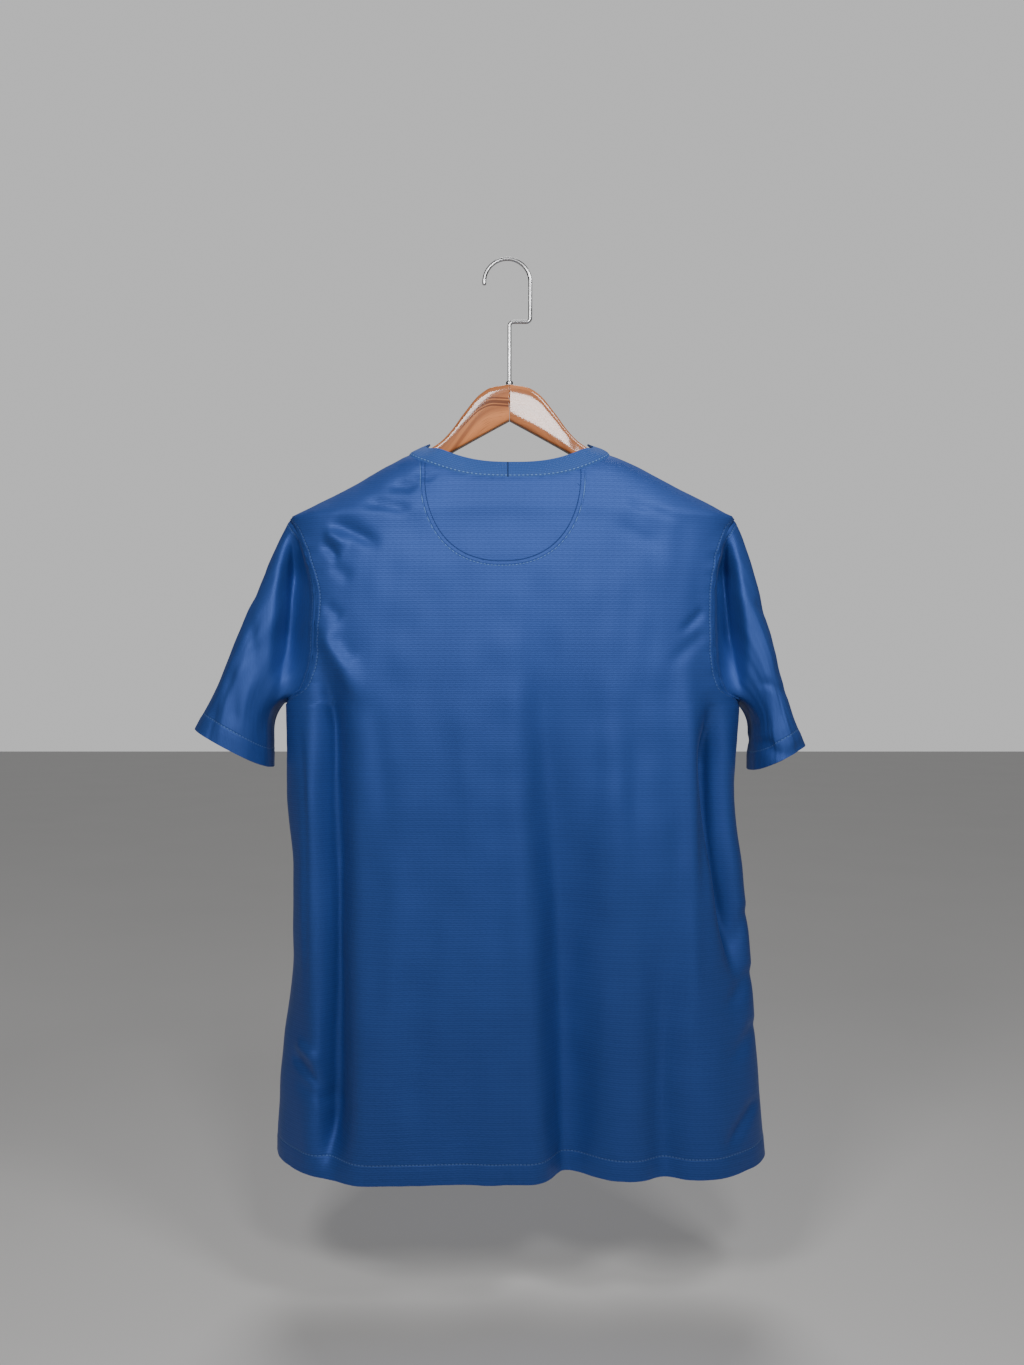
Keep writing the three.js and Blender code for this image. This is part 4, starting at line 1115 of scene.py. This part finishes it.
def wood_arm(hand, angle):
    """Rounded square sections between the arm's edges, drawn in over the last of its length."""
    end = ARM_END - 4 * np.array([0.6, 0.3, 0.1, 0])
    out = np.concatenate([[0.15, 0.2, 0.8], np.linspace(2, ARM_END - 4, ARM_ROWS), end])
    size = {c: track(ARM, c, out, "out")[:, None] for c in ARM if c != "out"}
    shrink = np.ones(len(out))
    shrink[0] = 0.97
    shrink = (shrink * np.sqrt(1 - 0.93 * np.clip((out - 206) / 10, 0, 1) ** 2))[:, None]
    middle = (size["top"] + size["low"]) / 2
    y = size["forward"] + squared(np.cos(angle)) * size["thick"] / 2 * shrink
    z = middle + squared(np.sin(angle)) * (size["top"] - size["low"]) / 2 * shrink
    x = np.broadcast_to((-1 if hand == "left" else 1) * out[:, None], y.shape)
    along = np.broadcast_to(out[:, None] + (0.0 if hand == "left" else ARM_APART), y.shape)
    points = np.stack([x, y, z], -1)
    return make_mesh("wood_" + hand, points, capped(points), None, (along, z - size["top"]))


def wire_hook(wire, angle):
    """A round section carried up the shank, round two bends and over the crown to a domed tip."""
    turn = np.linspace(0, CROWN_TURN, CROWN_STEPS)
    crown = -np.sqrt((CROWN_RADIUS - wire / 2) ** 2 - CROWN_MIDDLE ** 2)
    bend = np.linspace(0, np.pi / 2, BEND_STEPS)
    slow, fast = BEND_RADIUS * (1 - np.cos(bend)), BEND_RADIUS * (1 - np.sin(bend))
    path = np.concatenate([
        [[0, SHANK_FOOT], [0, SHANK_MIDDLE], [0, SHANK_TOP]],
        np.stack([slow, OFFSET_BEND - fast], -1),
        np.stack([OFFSET_ASIDE - fast, OFFSET_BEND + slow], -1),
        np.stack([CROWN_MIDDLE + CROWN_RADIUS * np.cos(turn), crown + CROWN_RADIUS * np.sin(turn)], -1)])
    step = np.gradient(path, axis=0)
    step = step / np.linalg.norm(step, axis=1, keepdims=True)
    aside = np.stack([step[:, 1], np.zeros(len(step)), -step[:, 0]], -1)[:, None, :]
    radius = np.full(len(path), wire / 2)
    centre = np.stack([path[:, 0], np.zeros(len(path)), path[:, 1]], -1)[:, None, :]
    ring = np.cos(angle)[None, :, None] * aside + np.sin(angle)[None, :, None] * np.array([0.0, 1.0, 0.0])
    ahead = np.array([step[-1, 0], 0, step[-1, 1]])
    tip = centre[-1:] + ahead * np.array([0.5, 0.9, 1.1])[:, None, None]
    centre = np.concatenate([centre, tip])
    ring = np.concatenate([ring, np.repeat(ring[-1:], 3, axis=0)])
    radius = np.concatenate([radius, radius[-1] * np.array([0.92, 0.7, 0.3])])
    points = centre + ring * radius[:, None, None]
    run = np.cumsum(np.linalg.norm(np.diff(centre[:, 0], axis=0, prepend=centre[:1, 0]), axis=1))
    flat = np.broadcast_arrays(run[:, None], angle[None, :] * 1.9)
    return make_mesh("wire_hook", points, capped(points), None, flat)


def ferrule_ring(angle):
    """A turned profile carried round the hook, as wide and as high as its node in the frame."""
    low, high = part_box("hook_ferrule")
    floor_z, top_z = low[2] / MM, high[2] / MM
    outer = (high[0] - low[0]) / MM / 2
    profile = np.array([(2.3, 0), (outer - 0.3, 0), (outer, 0.12), (outer, 0.8), (outer - 0.3, 1),
                        (2.6, 1), (2.3, 0.9), (2.3, 0)])
    points = np.stack([
        np.cos(angle)[None, :] * profile[:, :1], np.sin(angle)[None, :] * profile[:, :1],
        np.broadcast_to(floor_z + (top_z - floor_z) * profile[:, 1:], (len(profile), len(angle)))], -1)
    points[..., 1] += (low[1] + high[1]) / MM / 2
    around = np.broadcast_to(angle[None, :] * outer, points.shape[:2])
    faces = quads(*points.shape[:2], closed=True)
    return make_mesh("ferrule_ring", points, faces, None, (around, points[..., 2]))


class JERSEY_OT_hanger(bpy.types.Operator):
    """Make the wooden arms, the ferrule and the hook"""
    bl_idname = "jersey.hanger"
    bl_label = "Hanger"

    def execute(self, context):
        """Each solid made, closed and declared."""
        hanger = context.scene.jersey_hanger
        wood, steel = wood_material(hanger), steel_material()
        angle = 2 * np.pi * np.arange(hanger.sides) / hanger.sides
        for hand in ("left", "right"):
            piece = wood_arm(hand, angle)
            close(piece)
            declare(piece, wood, ["hanger_arm_" + hand])
        piece = wire_hook(hanger.wire / MM, angle)
        close(piece)
        declare(piece, steel, ["hanger_hook"])
        piece = ferrule_ring(angle)
        close(piece)
        declare(piece, steel, ["hook_ferrule"])
        return {"FINISHED"}


class JERSEY_OT_stage(bpy.types.Operator):
    """Make the floor, the lights, the world and the camera"""
    bl_idname = "jersey.stage"
    bl_label = "Stage"

    def execute(self, context):
        """A pale floor, three small soft lights, a sun behind, and the photograph's viewpoint."""
        stage = context.scene.jersey_stage
        grid = np.linspace(-FLOOR_HALF, FLOOR_HALF, FLOOR_POINTS)
        x, y = np.meshgrid(grid, grid)
        points = np.stack([x, y, np.full_like(x, -stage.floor_drop / MM)], -1)
        faces = outward(quads(*x.shape), points.reshape(-1, 3), (0, 0, -FLOOR_HALF))
        floor = make_mesh("floor", points, faces)
        floor.data.materials.append(floor_material(stage.floor_colour))
        for name, place, goal, extent, setting, colour in SOFT_LIGHTS:
            data = bpy.data.lights.new(name, "AREA")
            data.shape = "RECTANGLE"
            data.size, data.size_y = extent
            data.energy = getattr(stage, setting)
            data.color = colour
            light = bpy.data.objects.new(name, data)
            context.scene.collection.objects.link(light)
            light.location = place
            light.rotation_euler = (Vector(goal) - Vector(place)).to_track_quat("-Z", "Y").to_euler()
        data = bpy.data.lights.new("back_sun", "SUN")
        data.energy, data.angle = stage.sun, SUN_ANGLE
        sun = bpy.data.objects.new("back_sun", data)
        context.scene.collection.objects.link(sun)
        sun.rotation_euler = SUN_TURN
        world = bpy.data.worlds.new("studio")
        context.scene.world = world
        world.use_nodes = True
        tree = world.node_tree
        plain = tree.nodes["Background"]
        plain.inputs["Color"].default_value = WORLD_COLOUR
        plain.inputs["Strength"].default_value = WORLD_STRENGTH
        seen = tree.nodes.new("ShaderNodeBackground")
        seen.inputs["Color"].default_value = BACKGROUND_GREY
        path = tree.nodes.new("ShaderNodeLightPath")
        both = tree.nodes.new("ShaderNodeMixShader")
        tree.links.new(path.outputs["Is Camera Ray"], both.inputs[0])
        tree.links.new(plain.outputs[0], both.inputs[1])
        tree.links.new(seen.outputs[0], both.inputs[2])
        tree.links.new(both.outputs[0], tree.nodes["World Output"].inputs["Surface"])
        data = bpy.data.cameras.new("camera")
        data.sensor_width = SENSOR_WIDE
        data.lens = FOCAL_PIXELS / PICTURE_PIXELS * SENSOR_WIDE
        data.clip_start = 0.01
        camera = bpy.data.objects.new("camera", data)
        context.scene.collection.objects.link(camera)
        camera.location = CAMERA_PLACE
        camera.rotation_euler = (np.pi / 2, 0.0, 0.0)
        context.scene.camera = camera
        return {"FINISHED"}


class JERSEY_PT_panel(bpy.types.Panel):
    """The jersey's pieces and sizes"""
    bl_idname = "JERSEY_PT_panel"
    bl_label = "Jersey"
    bl_space_type = "VIEW_3D"
    bl_region_type = "UI"
    bl_category = "Jersey"

    def draw(self, context):
        """One row for each piece and each size."""
        for operator in OPERATORS:
            self.layout.operator(operator.bl_idname)
        for name, group in GROUPS:
            settings = getattr(context.scene, name)
            for key in group.__annotations__:
                self.layout.prop(settings, key)


GROUPS = (("jersey_cloth", JerseyCloth), ("jersey_hanger", JerseyHanger), ("jersey_stage", JerseyStage))
OPERATORS = (JERSEY_OT_hanger, JERSEY_OT_back, JERSEY_OT_front, JERSEY_OT_sleeves, JERSEY_OT_collar,
             JERSEY_OT_stage)


def register():
    """Register the classes and hang the settings on the scene."""
    for _, group in GROUPS:
        bpy.utils.register_class(group)
    for kind in OPERATORS + (JERSEY_PT_panel,):
        bpy.utils.register_class(kind)
    for name, group in GROUPS:
        setattr(bpy.types.Scene, name, PointerProperty(type=group))


def unregister():
    """Take the settings and the classes away."""
    for name, _ in GROUPS:
        delattr(bpy.types.Scene, name)
    for kind in (JERSEY_PT_panel,) + OPERATORS[::-1]:
        bpy.utils.unregister_class(kind)
    for _, group in GROUPS[::-1]:
        bpy.utils.unregister_class(group)


def main():
    """Build everything in order."""
    register()
    bpy.ops.jersey.hanger()
    bpy.ops.jersey.back()
    bpy.ops.jersey.front()
    bpy.ops.jersey.sleeves()
    bpy.ops.jersey.collar()
    bpy.ops.jersey.stage()


if __name__ == "__main__":
    main()
